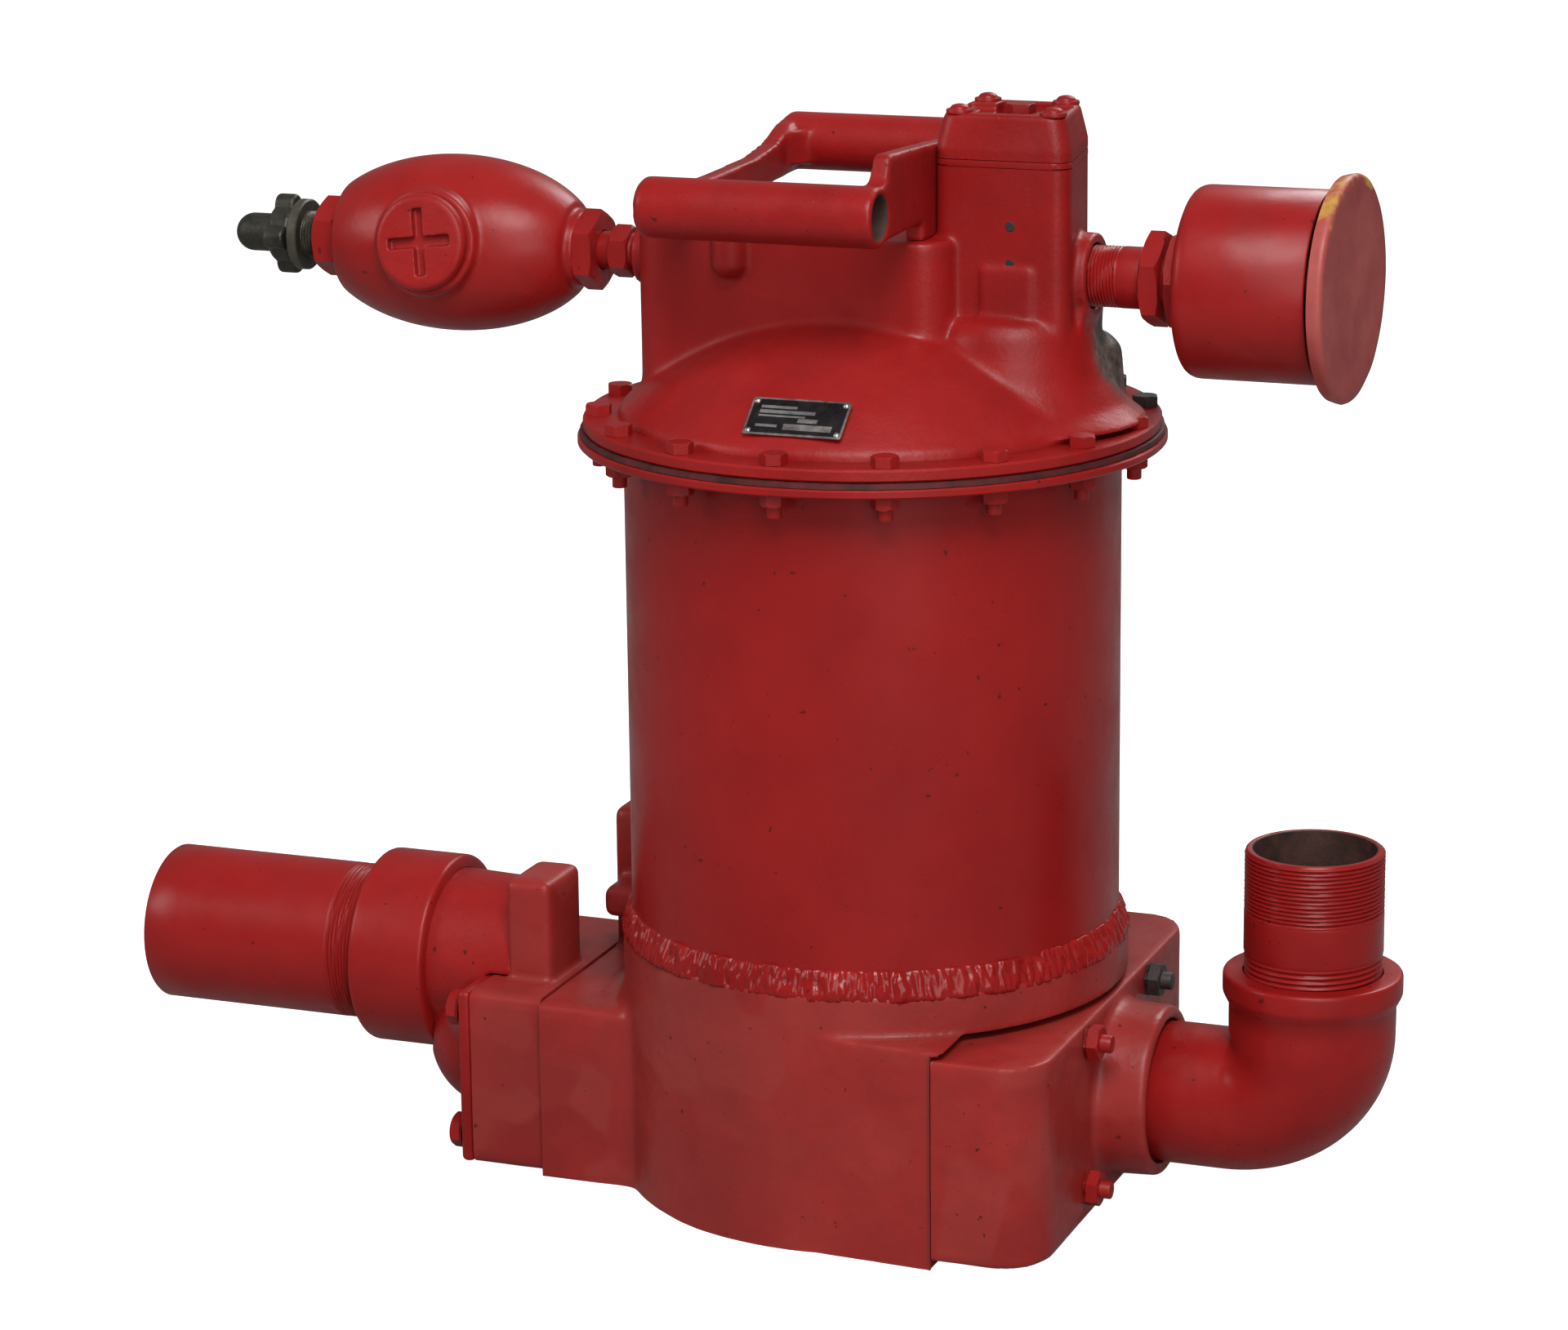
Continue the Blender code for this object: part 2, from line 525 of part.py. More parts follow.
def make_discharge():
    low_x = PARTING_X + GAP
    corners = [(low_x, -PAD_Y), (COVER_FACE_X, -PAD_Y), (COVER_FACE_X, PAD_Y), (low_x, PAD_Y)]
    outline = rounded_outline(corners, [0.001, 0.028, 0.028, 0.001], 7)
    cover = extruded("discharge_cover", outline, 0.005, 0.1185, CAST_RED)
    round_edges(cover, 0.004, angle=60)
    boss = rod("discharge_boss", 0.0475, 0.13, 0.172, "X", centre=(0, 0, DISCHARGE_Z))
    join(cover, boss)
    cut(cover, block("discharge_room", (PARTING_X - 0.01, -0.048, 0.016), (0.134, 0.048, 0.1115)),
        rod("discharge_way", 0.035, 0.12, 0.18, "X", centre=(0, 0, DISCHARGE_Z)),
        clear_hole("elbow_seat", 0.039 + GAP, 0.1515, 0.18, "X", centre=(0, 0, DISCHARGE_Z)))
    for index, (y, z) in enumerate(STUD_PLACES):
        hole = rod(f"cover_stud_hole_{index}", BOLT_HOLE, 0.07, 0.16, "X", sides=12, centre=(0, y, z))
        cut(cover, hole)
        nut_x = COVER_FACE_X + GAP
        nut = rod(f"discharge_bolt_{index + 1}", 0.0102, nut_x, nut_x + 0.008, "X", BOLT_RED, 6, (0, y, z))
        join(nut, rod(f"discharge_stud_{index}", STUD_R, 0.0725, 0.1575, "X", sides=12, centre=(0, y, z)))


def elbow_path(start_x, top_z, steps=10):
    centre = Vector((ELBOW_X - ELBOW_BEND, 0, DISCHARGE_Z + ELBOW_BEND))
    path = [Vector((start_x, 0, DISCHARGE_Z))]
    for step in range(steps + 1):
        angle = -math.pi / 2 + step / steps * math.pi / 2
        path.append(centre + ELBOW_BEND * Vector((math.cos(angle), 0, math.sin(angle))))
    path.append(Vector((ELBOW_X, 0, top_z)))
    return path


def make_elbow():
    top = 0.143
    path = elbow_path(0.152, top)
    radii = [0.039] * 2 + [0.039 + 0.0062 * step / 9 for step in range(9)] + [0.0455, 0.0455]
    elbow = swept("discharge_elbow", path, radii, CAST_RED)
    way = elbow_path(0.14, top + 0.02)
    upright = (ELBOW_X, 0, 0)
    join(elbow, rod("elbow_bead", 0.049, 0.130, top, "Z", centre=upright))
    cut(elbow, swept("elbow_way", way, [0.0325] * len(way)),
        clear_hole("elbow_socket", 0.038 + GAP, 0.1175, top + 0.02, "Z", centre=upright))
    ring("discharge_nipple", 0.038, 0.0335, 0.118, NIPPLE_TOP, TUBE_RED, "Z", upright)


# ---------------------------------------------------------------- lubricator and silencer
LUB_X, LUB_LENGTH, LUB_R = -0.246, 0.084, 0.0494
PLUG_TILT = math.radians(9)


def lubricator_radius(x):
    return LUB_R * math.sqrt(1 - ((x - LUB_X) / LUB_LENGTH) ** 2)


def make_lubricator():
    axis = (0, 0, AIR_Z)
    left, right, steps = -0.311, -0.174, 8
    places = [right + (left - right) * step / steps for step in range(steps + 1)]
    shell = [(0, right)] + [(lubricator_radius(x), x) for x in places] + [(0, left)]
    body = turned("lubricator_body", shell, CAST_RED, 28, location=axis, rotation=ALONG_X)
    join(body, rod("lubricator_right_hex", 0.0228, -0.180, -0.1575, "X", sides=6, centre=axis),
         rod("lubricator_left_hex", 0.0229, -0.328, -0.305, "X", sides=6, centre=axis))
    plug_frame = ((LUB_X + 0.002, 0, AIR_Z), (math.pi / 2 - PLUG_TILT, 0, 0))
    seat = turned("plug_seat", [(0, 0.0505), (0.030, 0.0505), (0.030, 0.020), (0, 0.020)], None, 32,
                  False, *plug_frame)
    room = [(0, right - 0.012), *((lubricator_radius(x) - 0.007, x) for x in places[1:-1]), (0, left + 0.012)]
    cut(join(body, seat), turned("oil_room", room, None, 16, location=axis, rotation=ALONG_X),
        rod("oil_way", 0.006, -0.34, -0.14, "X", sides=24, centre=axis),
        clear_hole("right_thread", 0.0108, -0.1740, -0.15, centre=axis),
        clear_hole("left_thread", 0.0111, -0.34, -0.3140, centre=axis),
        turned("plug_thread", [(0, 0.06), (0.0190, 0.06), (0.0190, 0.02), (0, 0.02)], None, 24,
               False, *plug_frame))
    plug = turned("filler_plug", [(0, 0.0580), (0.0240, 0.0580), (0.0268, 0.0560), (0.0268, 0.0508),
                                  (0.0186, 0.0508), (0.0186, 0.0440), (0, 0.0440)], CAST_RED, 32,
                  False, *plug_frame)
    half_slot = 0.0035
    for index, size in enumerate(((0.019, half_slot), (half_slot, 0.019))):
        slot = block(f"plug_slot_{index}", (-size[0], -size[1], 0.0545), (size[0], size[1], 0.07))
        slot.data.transform(Matrix.Translation(slot.location))
        slot.location, slot.rotation_euler = plug_frame
        cut(plug, slot)

    nipple = rod("lubricator_nipple", 0.0105, -0.1730, -0.1235, "X", BOLT_RED, 24, axis)
    join(nipple, rod("nipple_hex", 0.0149, -0.1503, -0.1393, "X", sides=6, centre=axis))
    cut(nipple, rod("nipple_bore", 0.006, -0.18, -0.11, "X", sides=24, centre=axis))

    tip = 0.0108
    nose = [(tip * math.sin(a), 0.3737 + tip * math.cos(a)) for a in (math.pi / 2 * s / 4 for s in range(1, 5))]
    spud = [(0.0015, 0.3844), *nose, (tip, 0.3445), (0.020, 0.3445), (0.020, 0.3385), (0.0134, 0.3385),
            (0.0134, 0.3284), (tip, 0.3284), (tip, 0.3145), (0.0015, 0.3145)]
    turned("hose_spud", spud, BLACKENED, 18, True, axis, (0, -math.pi / 2, 0))
    nut = rod("wing_nut", 0.0175, -0.3592, -0.3448, "X", BLACKENED, 24, axis)
    for index in range(4):
        angle = math.pi / 4 + index * math.pi / 2
        centre = (0, 0.0165 * math.cos(angle), AIR_Z + 0.0165 * math.sin(angle))
        join(nut, rod(f"wing_lobe_{index}", 0.0065, -0.3580, -0.3462, "X", sides=12, centre=centre))
    cut(nut, clear_hole("wing_nut_bore", 0.0112, -0.37, -0.34, centre=axis))


def make_silencer():
    axis = (0, 0, AIR_Z)
    bore = 0.0125
    ring("exhaust_nipple", 0.0166, bore, 0.1130, 0.1785, TUBE_RED, "X", axis, 28)
    locknut = rod("exhaust_locknut", 0.0266, 0.1575, 0.1680, "X", BOLT_RED, 6, axis)
    cut(locknut, clear_hole("locknut_bore", 0.0169, 0.15, 0.18, centre=axis))
    can = turned("silencer_can", [(0, 0.2545), (0.0514, 0.2545), (0.0514, 0.1890), (0.0495, 0.1840),
                                  (0.0440, 0.1815), (0, 0.1815)], CAST_RED, 36, False, axis, ALONG_X)
    join(can, rod("can_hex", 0.0277, 0.1715, 0.184, "X", sides=6, centre=axis))
    room = rod("can_room", 0.0484, 0.187, 0.27, "X", sides=36, centre=axis)
    cut(room, block("can_bridge", (0.232, -0.06, AIR_Z - 0.007), (0.240, 0.06, AIR_Z + 0.007)))
    cut(can, room, rod("can_inlet", bore, 0.16, 0.20, "X", centre=axis),
        clear_hole("can_thread", 0.0169, 0.16, 0.1790, centre=axis),
        clear_hole("can_stud_hole", 0.0045, 0.22, 0.26, sides=12, centre=axis))
    lid = turned("silencer_lid", [(0, 0.2675), (0.054, 0.2675), (0.0585, 0.2690), (0.0606, 0.2680),
                                  (0.0606, 0.2600), (0.004, 0.2600), (0.004, 0.2250), (0, 0.2250)],
                 LID_RED, 36, False, axis, ALONG_X)
    lid.data.shade_smooth()


make_base()
make_tank()
make_flange_bolts()
make_cover()
make_valve_cover()
make_handle()
make_nameplate()
make_float()
make_suction()
make_flap("suction_flap", (-0.1685, 0, 0.0935), BOX_X - GAP, 1, SEAT_Z)
make_flap("discharge_flap", (0.0868, 0, 0.1045), PARTING_X, 1, DISCHARGE_Z)
make_discharge()
make_elbow()
make_lubricator()
make_silencer()
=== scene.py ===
"""Looks for the air-operated sludge pump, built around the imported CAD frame."""
import math

import bmesh
import bpy
import numpy as np
from mathutils import Matrix, Vector, noise


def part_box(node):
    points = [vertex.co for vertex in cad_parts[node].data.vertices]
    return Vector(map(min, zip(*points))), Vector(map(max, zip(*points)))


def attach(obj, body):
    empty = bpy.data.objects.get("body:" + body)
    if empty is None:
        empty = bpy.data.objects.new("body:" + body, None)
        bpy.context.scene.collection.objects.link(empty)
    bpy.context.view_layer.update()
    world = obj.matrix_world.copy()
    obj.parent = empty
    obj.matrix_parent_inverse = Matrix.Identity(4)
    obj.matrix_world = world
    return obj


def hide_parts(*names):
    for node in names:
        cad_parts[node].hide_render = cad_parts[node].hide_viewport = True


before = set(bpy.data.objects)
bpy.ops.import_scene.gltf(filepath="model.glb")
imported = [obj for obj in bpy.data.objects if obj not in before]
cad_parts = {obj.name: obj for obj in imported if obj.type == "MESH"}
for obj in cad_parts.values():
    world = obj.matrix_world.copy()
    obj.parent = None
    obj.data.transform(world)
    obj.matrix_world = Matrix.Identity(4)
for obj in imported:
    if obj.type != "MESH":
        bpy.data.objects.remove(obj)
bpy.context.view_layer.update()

# ---------------------------------------------------------------- camera, light and floor
CAMERA_PLACE = Vector((0.8632, -2.3669, 0.944))
AZIMUTH, ELEVATION, ROLL = (math.radians(a) for a in (21.17, 14.47, -0.66))
LENS = 107.7
LIGHT_TARGET = Vector((0, 0, 0.3))
LIGHTS = (("key", (0.7, -1.7, 2.5), 1.3, 62), ("front", (1.7, -3.0, 1.2), 1.8, 34),
          ("fill", (-2.4, -1.4, 1.5), 1.2, 19), ("back", (0.5, 2.2, 2.2), 1.4, 36))
FLOOR_SIZE, FLOOR_DROP = 14, 0.0002


def placed(name, data):
    """A new object in the scene."""
    thing = bpy.data.objects.new(name, data)
    bpy.context.scene.collection.objects.link(thing)
    return thing


def make_camera():
    back = Vector((math.sin(AZIMUTH) * math.cos(ELEVATION), -math.cos(AZIMUTH) * math.cos(ELEVATION),
                   math.sin(ELEVATION)))
    right = Vector((math.cos(AZIMUTH), math.sin(AZIMUTH), 0))
    up = back.cross(right)
    right, up = (right * math.cos(ROLL) + up * math.sin(ROLL),
                 up * math.cos(ROLL) - right * math.sin(ROLL))
    data = bpy.data.cameras.new("camera")
    data.lens = LENS
    data.clip_end = 30
    camera = placed("camera", data)
    camera.matrix_world = Matrix.Translation(CAMERA_PLACE) @ Matrix((right, up, back)).transposed().to_4x4()
    bpy.context.scene.camera = camera


def area_light(name, place, size, power):
    """A square softbox aimed at the middle of the pump."""
    data = bpy.data.lights.new(name, "AREA")
    data.size = size
    data.energy = power
    light = placed(name, data)
    light.location = place
    light.rotation_euler = (LIGHT_TARGET - Vector(place)).to_track_quat("-Z", "Y").to_euler()


def make_stage():
    world = bpy.data.worlds.new("studio")
    world.use_nodes = True
    background = world.node_tree.nodes["Background"]
    background.inputs["Color"].default_value = (1.0, 1.0, 1.0, 1)
    background.inputs["Strength"].default_value = 0.2
    bpy.context.scene.world = world
    bpy.context.scene.view_settings.view_transform = "Standard"
    bm = bmesh.new()
    bmesh.ops.create_grid(bm, x_segments=1, y_segments=1, size=FLOOR_SIZE)
    mesh = bpy.data.meshes.new("floor")
    bm.to_mesh(mesh)
    floor = placed("floor", mesh)
    material = bpy.data.materials.new("floor")
    material.use_nodes = True
    tree = material.node_tree  # glowing white where the camera sees it, grey where it lights the pump
    shader = tree.nodes["Principled BSDF"]
    shader.inputs["Base Color"].default_value = (0.5, 0.5, 0.5, 1)
    shader.inputs["Roughness"].default_value = 1.0
    shader.inputs["Specular IOR Level"].default_value = 0.0
    shader.inputs["Emission Color"].default_value = (1, 1, 1, 1)
    shader.inputs["Emission Strength"].default_value = 1.0
    soft = tree.nodes.new("ShaderNodeBsdfDiffuse")
    soft.inputs["Color"].default_value = (0.3, 0.3, 0.3, 1)
    seen = tree.nodes.new("ShaderNodeLightPath").outputs["Is Camera Ray"]
    mixed = tree.nodes.new("ShaderNodeMixShader")
    tree.links.new(seen, mixed.inputs["Fac"])
    tree.links.new(soft.outputs[0], mixed.inputs[1])
    tree.links.new(shader.outputs[0], mixed.inputs[2])
    tree.links.new(mixed.outputs[0], tree.nodes["Material Output"].inputs["Surface"])
    mesh.materials.append(material)
    floor.location.z = -FLOOR_DROP
    for light in LIGHTS:
        area_light(*light)


# ---------------------------------------------------------------- materials
class Nodes:
    """A small way to write a node tree: each call adds one node and returns its output."""

    def __init__(self, name):
        self.material = bpy.data.materials.new(name)
        self.material.use_nodes = True
        self.tree = self.material.node_tree
        self.shader = self.tree.nodes["Principled BSDF"]
        self.place = self.add("ShaderNodeTexCoord").outputs["Object"]

    def add(self, kind, **values):
        node = self.tree.nodes.new(kind)
        for key, value in values.items():
            setattr(node, key, value)
        return node

    def link(self, source, target):
        self.tree.links.new(source, target)

    def fill(self, target, value):
        if isinstance(value, bpy.types.NodeSocket):
            self.link(value, target)
        else:
            target.default_value = value

    def noise(self, scale, detail=4, roughness=0.55, stretch=None):
        node = self.add("ShaderNodeTexNoise")
        node.inputs["Scale"].default_value = scale
        node.inputs["Detail"].default_value = detail
        node.inputs["Roughness"].default_value = roughness
        place = self.place
        if stretch:
            mapping = self.add("ShaderNodeMapping")
            mapping.inputs["Scale"].default_value = stretch
            self.link(place, mapping.inputs["Vector"])
            place = mapping.outputs["Vector"]
        self.link(place, node.inputs["Vector"])
        return node.outputs["Fac"]

    def ramp(self, value, *stops):
        node = self.add("ShaderNodeValToRGB")
        elements = node.color_ramp.elements
        while len(elements) < len(stops):
            elements.new(0.5)
        for element, (position, colour) in zip(elements, stops):
            element.position = position
            element.color = (*colour, 1) if isinstance(colour, tuple) else (colour, colour, colour, 1)
        self.link(value, node.inputs["Fac"])
        return node.outputs["Color"]

    def mix(self, factor, first, second):
        node = self.add("ShaderNodeMix", data_type="RGBA")
        for index, value in ((0, factor), (6, first), (7, second)):
            self.fill(node.inputs[index], (*value, 1) if isinstance(value, tuple) else value)
        return node.outputs[2]

    def maths(self, operation, first, second=0.5):
        node = self.add("ShaderNodeMath", operation=operation)
        for index, value in enumerate((first, second)):
            self.fill(node.inputs[index], value)
        return node.outputs[0]

    def bump(self, height, strength, distance, after=None):
        node = self.add("ShaderNodeBump")
        node.inputs["Strength"].default_value = strength
        node.inputs["Distance"].default_value = distance
        self.link(height, node.inputs["Height"])
        if after:
            self.link(after, node.inputs["Normal"])
        return node.outputs["Normal"]

    def pointiness(self, low, high):
        edge = self.add("ShaderNodeNewGeometry").outputs["Pointiness"]
        return self.ramp(edge, (low, 0.0), (high, 1.0))

    def done(self, colour, roughness, normal, metallic=0.0, shine=0.5):
        self.link(colour, self.shader.inputs["Base Color"])
        self.link(roughness, self.shader.inputs["Roughness"])
        self.link(normal, self.shader.inputs["Normal"])
        self.shader.inputs["Metallic"].default_value = metallic
        self.shader.inputs["Specular IOR Level"].default_value = shine
        return self.material


RED = (0.3, 0.01, 0.0095)
DEEP = (0.215, 0.0065, 0.0065)
LIT = (0.35, 0.016, 0.014)
CHALK = (0.34, 0.062, 0.052)
# Near-black that the enamels blend into in concave hollows: painted shade in creases and recesses, partly
# soot.
HOLLOW_SHADE_SOOT = (0.02, 0.01, 0.009)
ENAMEL_SHINE = 0.26


def base_coat(n, cloud):
    """Red with broad soft clouds and a fine darker mottle, both stronger where cloud is above 1."""
    colour = n.ramp(n.noise(7.0, 5, 0.6), (0.5 - 0.16 / cloud, DEEP), (0.52, RED),
                    (0.52 + 0.2 / cloud, LIT))
    return n.mix(n.ramp(n.noise(70.0, 6, 0.6), (0.36, 0.0), (0.7, 0.3 * cloud)), colour, DEEP)


def enamel(name, grain=0.3, grain_scale=420, gloss=0.36, waves=0.25, hollow_shade_and_soot=0.5, cloud=1.0, facets=0):
    """Brushed and sprayed red enamel over a casting or a tube."""
    n = Nodes(name)
    colour = base_coat(n, cloud)
    runs = n.noise(16.0, 4, 0.55, (1.0, 1.0, 0.25))
    colour = n.mix(n.ramp(runs, (0.55, 0.0), (0.75, 0.22 * cloud)), colour, LIT)
    # Concave hollows (low pointiness) darken towards near-black: painted shade in creases and recesses,
    # partly soot.
    if hollow_shade_and_soot:
        shade_and_soot_in_hollows = n.ramp(n.add("ShaderNodeNewGeometry").outputs["Pointiness"], (0.44, hollow_shade_and_soot), (0.492, 0.0))
        colour = n.mix(shade_and_soot_in_hollows, colour, HOLLOW_SHADE_SOOT)
    if facets:
        cell = n.add("ShaderNodeTexVoronoi", feature="SMOOTH_F1")
        cell.inputs["Scale"].default_value = facets
        cell.inputs["Smoothness"].default_value = 0.25
        warp = n.add("ShaderNodeVectorMath", operation="ADD")
        swirl = n.add("ShaderNodeTexNoise")
        swirl.inputs["Scale"].default_value = 9.0
        n.link(n.place, swirl.inputs["Vector"])
        reach = n.add("ShaderNodeVectorMath", operation="SCALE")
        reach.inputs["Scale"].default_value = 0.05
        n.link(swirl.outputs["Color"], reach.inputs[0])
        n.link(n.place, warp.inputs[0])
        n.link(reach.outputs["Vector"], warp.inputs[1])
        n.link(warp.outputs["Vector"], cell.inputs["Vector"])
        tone = n.ramp(cell.outputs["Color"], (0.2, 0.22), (0.8, 0.42))
        colour = n.mix(tone, colour, CHALK)
    specks = n.ramp(n.noise(230.0, 2, 0.4), (0.735, 0.0), (0.76, 0.75))
    colour = n.mix(specks, colour, (0.035, 0.006, 0.006))
    rough = n.ramp(n.noise(26.0, 5, 0.6), (0.3, gloss - 0.07), (0.7, gloss + 0.13))
    normal = n.bump(n.noise(grain_scale, 3, 0.6), grain, 0.0006)
    normal = n.bump(n.noise(34.0, 3, 0.5), waves, 0.0022, normal)
    if facets:
        normal = n.bump(cell.outputs["Distance"], 0.22, 0.003, normal)
    return n.done(colour, rough, normal, shine=ENAMEL_SHINE)


def metal(name, dark, light, roughness, metallic, grain=0.3, worn=0.0):
    n = Nodes(name)
    colour = n.ramp(n.noise(60.0, 6, 0.65), (0.32, dark), (0.7, light))
    if worn:
        colour = n.mix(n.maths("MULTIPLY", n.pointiness(0.515, 0.56), worn), colour,
                       tuple(min(1.0, c * 2.6) for c in light))
    rough = n.ramp(n.noise(120.0, 4, 0.6), (0.3, roughness - 0.1), (0.7, roughness + 0.15))
    normal = n.bump(n.noise(520.0, 3, 0.6), grain, 0.0005)
    return n.done(colour, rough, normal, metallic)


def lid_paint():
    """Faded red with yellow paint worn off along the rim."""
    n = Nodes("lid_paint")
    colour = n.ramp(n.noise(22.0, 6, 0.6), (0.33, (0.3, 0.035, 0.035)), (0.68, (0.44, 0.085, 0.07)))
    place = n.add("ShaderNodeSeparateXYZ")
    n.link(n.place, place.inputs[0])
    height = n.maths("SUBTRACT", place.outputs["Z"], 0.5183)
    out = n.maths("POWER", n.maths("ADD", n.maths("POWER", height, 2.0),
                                   n.maths("POWER", place.outputs["Y"], 2.0)), 0.5)
    patch = n.noise(30.0, 5, 0.6)
    top = n.maths("ADD", n.maths("MULTIPLY", height, 9.0), n.maths("MULTIPLY", patch, 0.9))
    rim = n.maths("GREATER_THAN", out, 0.0555)
    yellow = n.maths("MULTIPLY", n.ramp(top, (0.86, 0.0), (0.93, 1.0)), rim)
    shade = n.ramp(n.noise(90.0, 5, 0.7), (0.36, (0.3, 0.13, 0.03)), (0.66, (0.62, 0.32, 0.05)))
    colour = n.mix(yellow, colour, shade)
    rough = n.ramp(n.noise(50.0, 4, 0.6), (0.3, 0.42), (0.7, 0.62))
    normal = n.bump(n.noise(240.0, 4, 0.6), 0.35, 0.0006)
    return n.done(colour, rough, normal)


def cover_paint():
    """The cover's enamel, with bare grey-brown iron on the lump behind the valve chest."""
    n = Nodes("cover_enamel")
    colour = base_coat(n, 1.0)
    # Concave hollows (low pointiness) darken towards near-black: painted shade in creases and recesses,
    # partly soot.
    shade_and_soot_in_hollows = n.ramp(n.add("ShaderNodeNewGeometry").outputs["Pointiness"], (0.43, 0.55), (0.49, 0.0))
    colour = n.mix(shade_and_soot_in_hollows, colour, HOLLOW_SHADE_SOOT)
    spot = n.add("ShaderNodeVectorMath", operation="DISTANCE")
    n.link(n.place, spot.inputs[0])
    spot.inputs[1].default_value = (0.128, 0.016, 0.474)
    near = n.maths("ADD", spot.outputs["Value"], n.maths("MULTIPLY", n.noise(60.0, 4, 0.6), 0.02))
    bare = n.ramp(near, (0.03, 1.0), (0.04, 0.0))
    iron = n.ramp(n.noise(150.0, 5, 0.7), (0.35, (0.035, 0.025, 0.022)), (0.68, (0.17, 0.12, 0.1)))
    colour = n.mix(bare, colour, iron)
    rough = n.ramp(n.noise(26.0, 5, 0.6), (0.3, 0.28), (0.7, 0.5))
    normal = n.bump(n.noise(380.0, 3, 0.6), 0.34, 0.0006)
    normal = n.bump(n.noise(34.0, 3, 0.5), 0.3, 0.0022, normal)
    return n.done(colour, rough, normal, shine=ENAMEL_SHINE)


CAST = enamel("cast_enamel", 0.42, 380, 0.36, 0.34)
COVER = cover_paint()
SMOOTH = enamel("smooth_enamel", 0.1, 300, 0.3, 0.22, hollow_shade_and_soot=0.3)
TUBE = enamel("tube_enamel", 0.08, 260, 0.3, 0.1, hollow_shade_and_soot=0.2, cloud=0.55)
BOLT = enamel("bolt_enamel", 0.25, 500, 0.36, 0.2, hollow_shade_and_soot=0)
WELD = enamel("weld_enamel", 0.3, 300, 0.18, 0.5, hollow_shade_and_soot=0.5)
LID = lid_paint()
OLIVE = metal("oiled_casting", (0.016, 0.015, 0.01), (0.05, 0.047, 0.034), 0.42, 0.35, 0.5, 0.4)
# Dark rust-brown for bore insides: partly bare rusted iron, partly painted shade that makes the lit bore wall
# look shadowed.
RUST_AND_BORE_SHADE = metal("rust_and_painted_bore_shade", (0.018, 0.008, 0.006), (0.085, 0.03, 0.02), 0.75, 0.0, 0.6)
DARK = metal("dark_iron", (0.018, 0.013, 0.012), (0.06, 0.045, 0.04), 0.55, 0.2, 0.5)
PLATE = metal("plate_black", (0.004, 0.004, 0.005), (0.012, 0.012, 0.013), 0.28, 0.0, 0.05)
SILVER = metal("plate_silver", (0.3, 0.3, 0.3), (0.62, 0.62, 0.6), 0.3, 0.9, 0.1)
STEEL = metal("bright_steel", (0.25, 0.25, 0.25), (0.55, 0.55, 0.53), 0.3, 1.0, 0.1)
BLACK = metal("black_rubber_and_hole_shade", (0.01, 0.01, 0.01), (0.026, 0.025, 0.024), 0.7, 0.0, 0.4)
GASKET = metal("painted_gasket", (0.03, 0.006, 0.006), (0.13, 0.01, 0.011), 0.55, 0.0, 0.4)
BAND = metal("plate_band", (0.1, 0.1, 0.1), (0.22, 0.22, 0.21), 0.4, 0.2, 0.05)
BASE_PAINT = enamel("base_enamel", 0.22, 300, 0.33, 0.45, cloud=1.4, facets=26)
OILER = enamel("oiler_enamel", 0.16, 300, 0.3, 0.25)


# ---------------------------------------------------------------- mesh helpers
HAIR = 0.0001            # keeps a face just inside the CAD face it stands for
HEX_TIP = 1.02           # a hexagon's chamfer cone, as shares of its corner radius
HEX_FACE = 0.88


def span(node, axis="x"):
    """Where a CAD node starts and ends along one axis."""
    return tuple(getattr(corner, axis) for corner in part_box(node))


def spun(bm, profile, steps=128, axis="Z", centre=(0, 0, 0), closed=False, shape=None):
    """A (radius, height) profile spun about an axis. shape(angle, radius, height, index) may move a point."""
    rows = []
    for index, (radius, height) in enumerate(profile):
        row = []
        for step in range(1 if radius == 0 else steps):
            angle = math.tau * step / steps
            r, h = shape(angle, radius, height, index) if shape else (radius, height)
            u, v = r * math.cos(angle), r * math.sin(angle)
            point = {"Z": (u, v, h), "X": (h, u, v), "Y": (v, h, u)}[axis]
            row.append(bm.verts.new(Vector(point) + Vector(centre)))
        rows.append(row)
    pairs = list(zip(rows, rows[1:])) + ([(rows[-1], rows[0])] if closed else [])
    for first, second in pairs:
        for step in range(steps):
            after = (step + 1) % steps
            quad = [first[step % len(first)], first[after % len(first)],
                    second[after % len(second)], second[step % len(second)]]
            quad = list(dict.fromkeys(quad))
            if len(quad) > 2:
                bm.faces.new(quad)
    if not closed:
        for row in (rows[0], rows[-1]):
            if len(row) > 1:
                bm.faces.new(row)
    return bm


def rod(bm, radius, start, end, steps, axis="Z", centre=(0, 0, 0)):
    """A plain solid cylinder."""
    return spun(bm, [(0, start), (radius, start), (radius, end), (0, end)], steps, axis, centre)


def rounded(corner_profile, radius, steps=4):
    """An open (radius, height) profile with its inner corners rounded."""
    points = [Vector(p) for p in corner_profile]
    out = [points[0]]
    for before, corner, after in zip(points, points[1:], points[2:]):
        a, b = (before - corner), (after - corner)
        limit = min(radius, a.length * 0.45, b.length * 0.45)
        start, end = corner + a.normalized() * limit, corner + b.normalized() * limit
        for step in range(steps + 1):
            t = step / steps
            out.append(start * (1 - t) ** 2 + corner * 2 * t * (1 - t) + end * t * t)
    return [tuple(p) for p in out + [points[-1]]]


def boxed(bm, low, high, bevel=0.0, segments=3, matrix=None):
    made = bmesh.ops.create_cube(bm, size=1.0)["verts"]
    size, middle = Vector(high) - Vector(low), (Vector(low) + Vector(high)) / 2
    bmesh.ops.transform(bm, verts=made, matrix=Matrix.Translation(middle) @ Matrix.Diagonal((*size, 1)))
    if bevel:
        edges = list({e for v in made for e in v.link_edges})
        made = bmesh.ops.bevel(bm, geom=edges, offset=bevel, segments=segments, profile=0.5,
                               affect="EDGES")["verts"]
    if matrix:
        bmesh.ops.transform(bm, verts=made, matrix=matrix)
    return bm


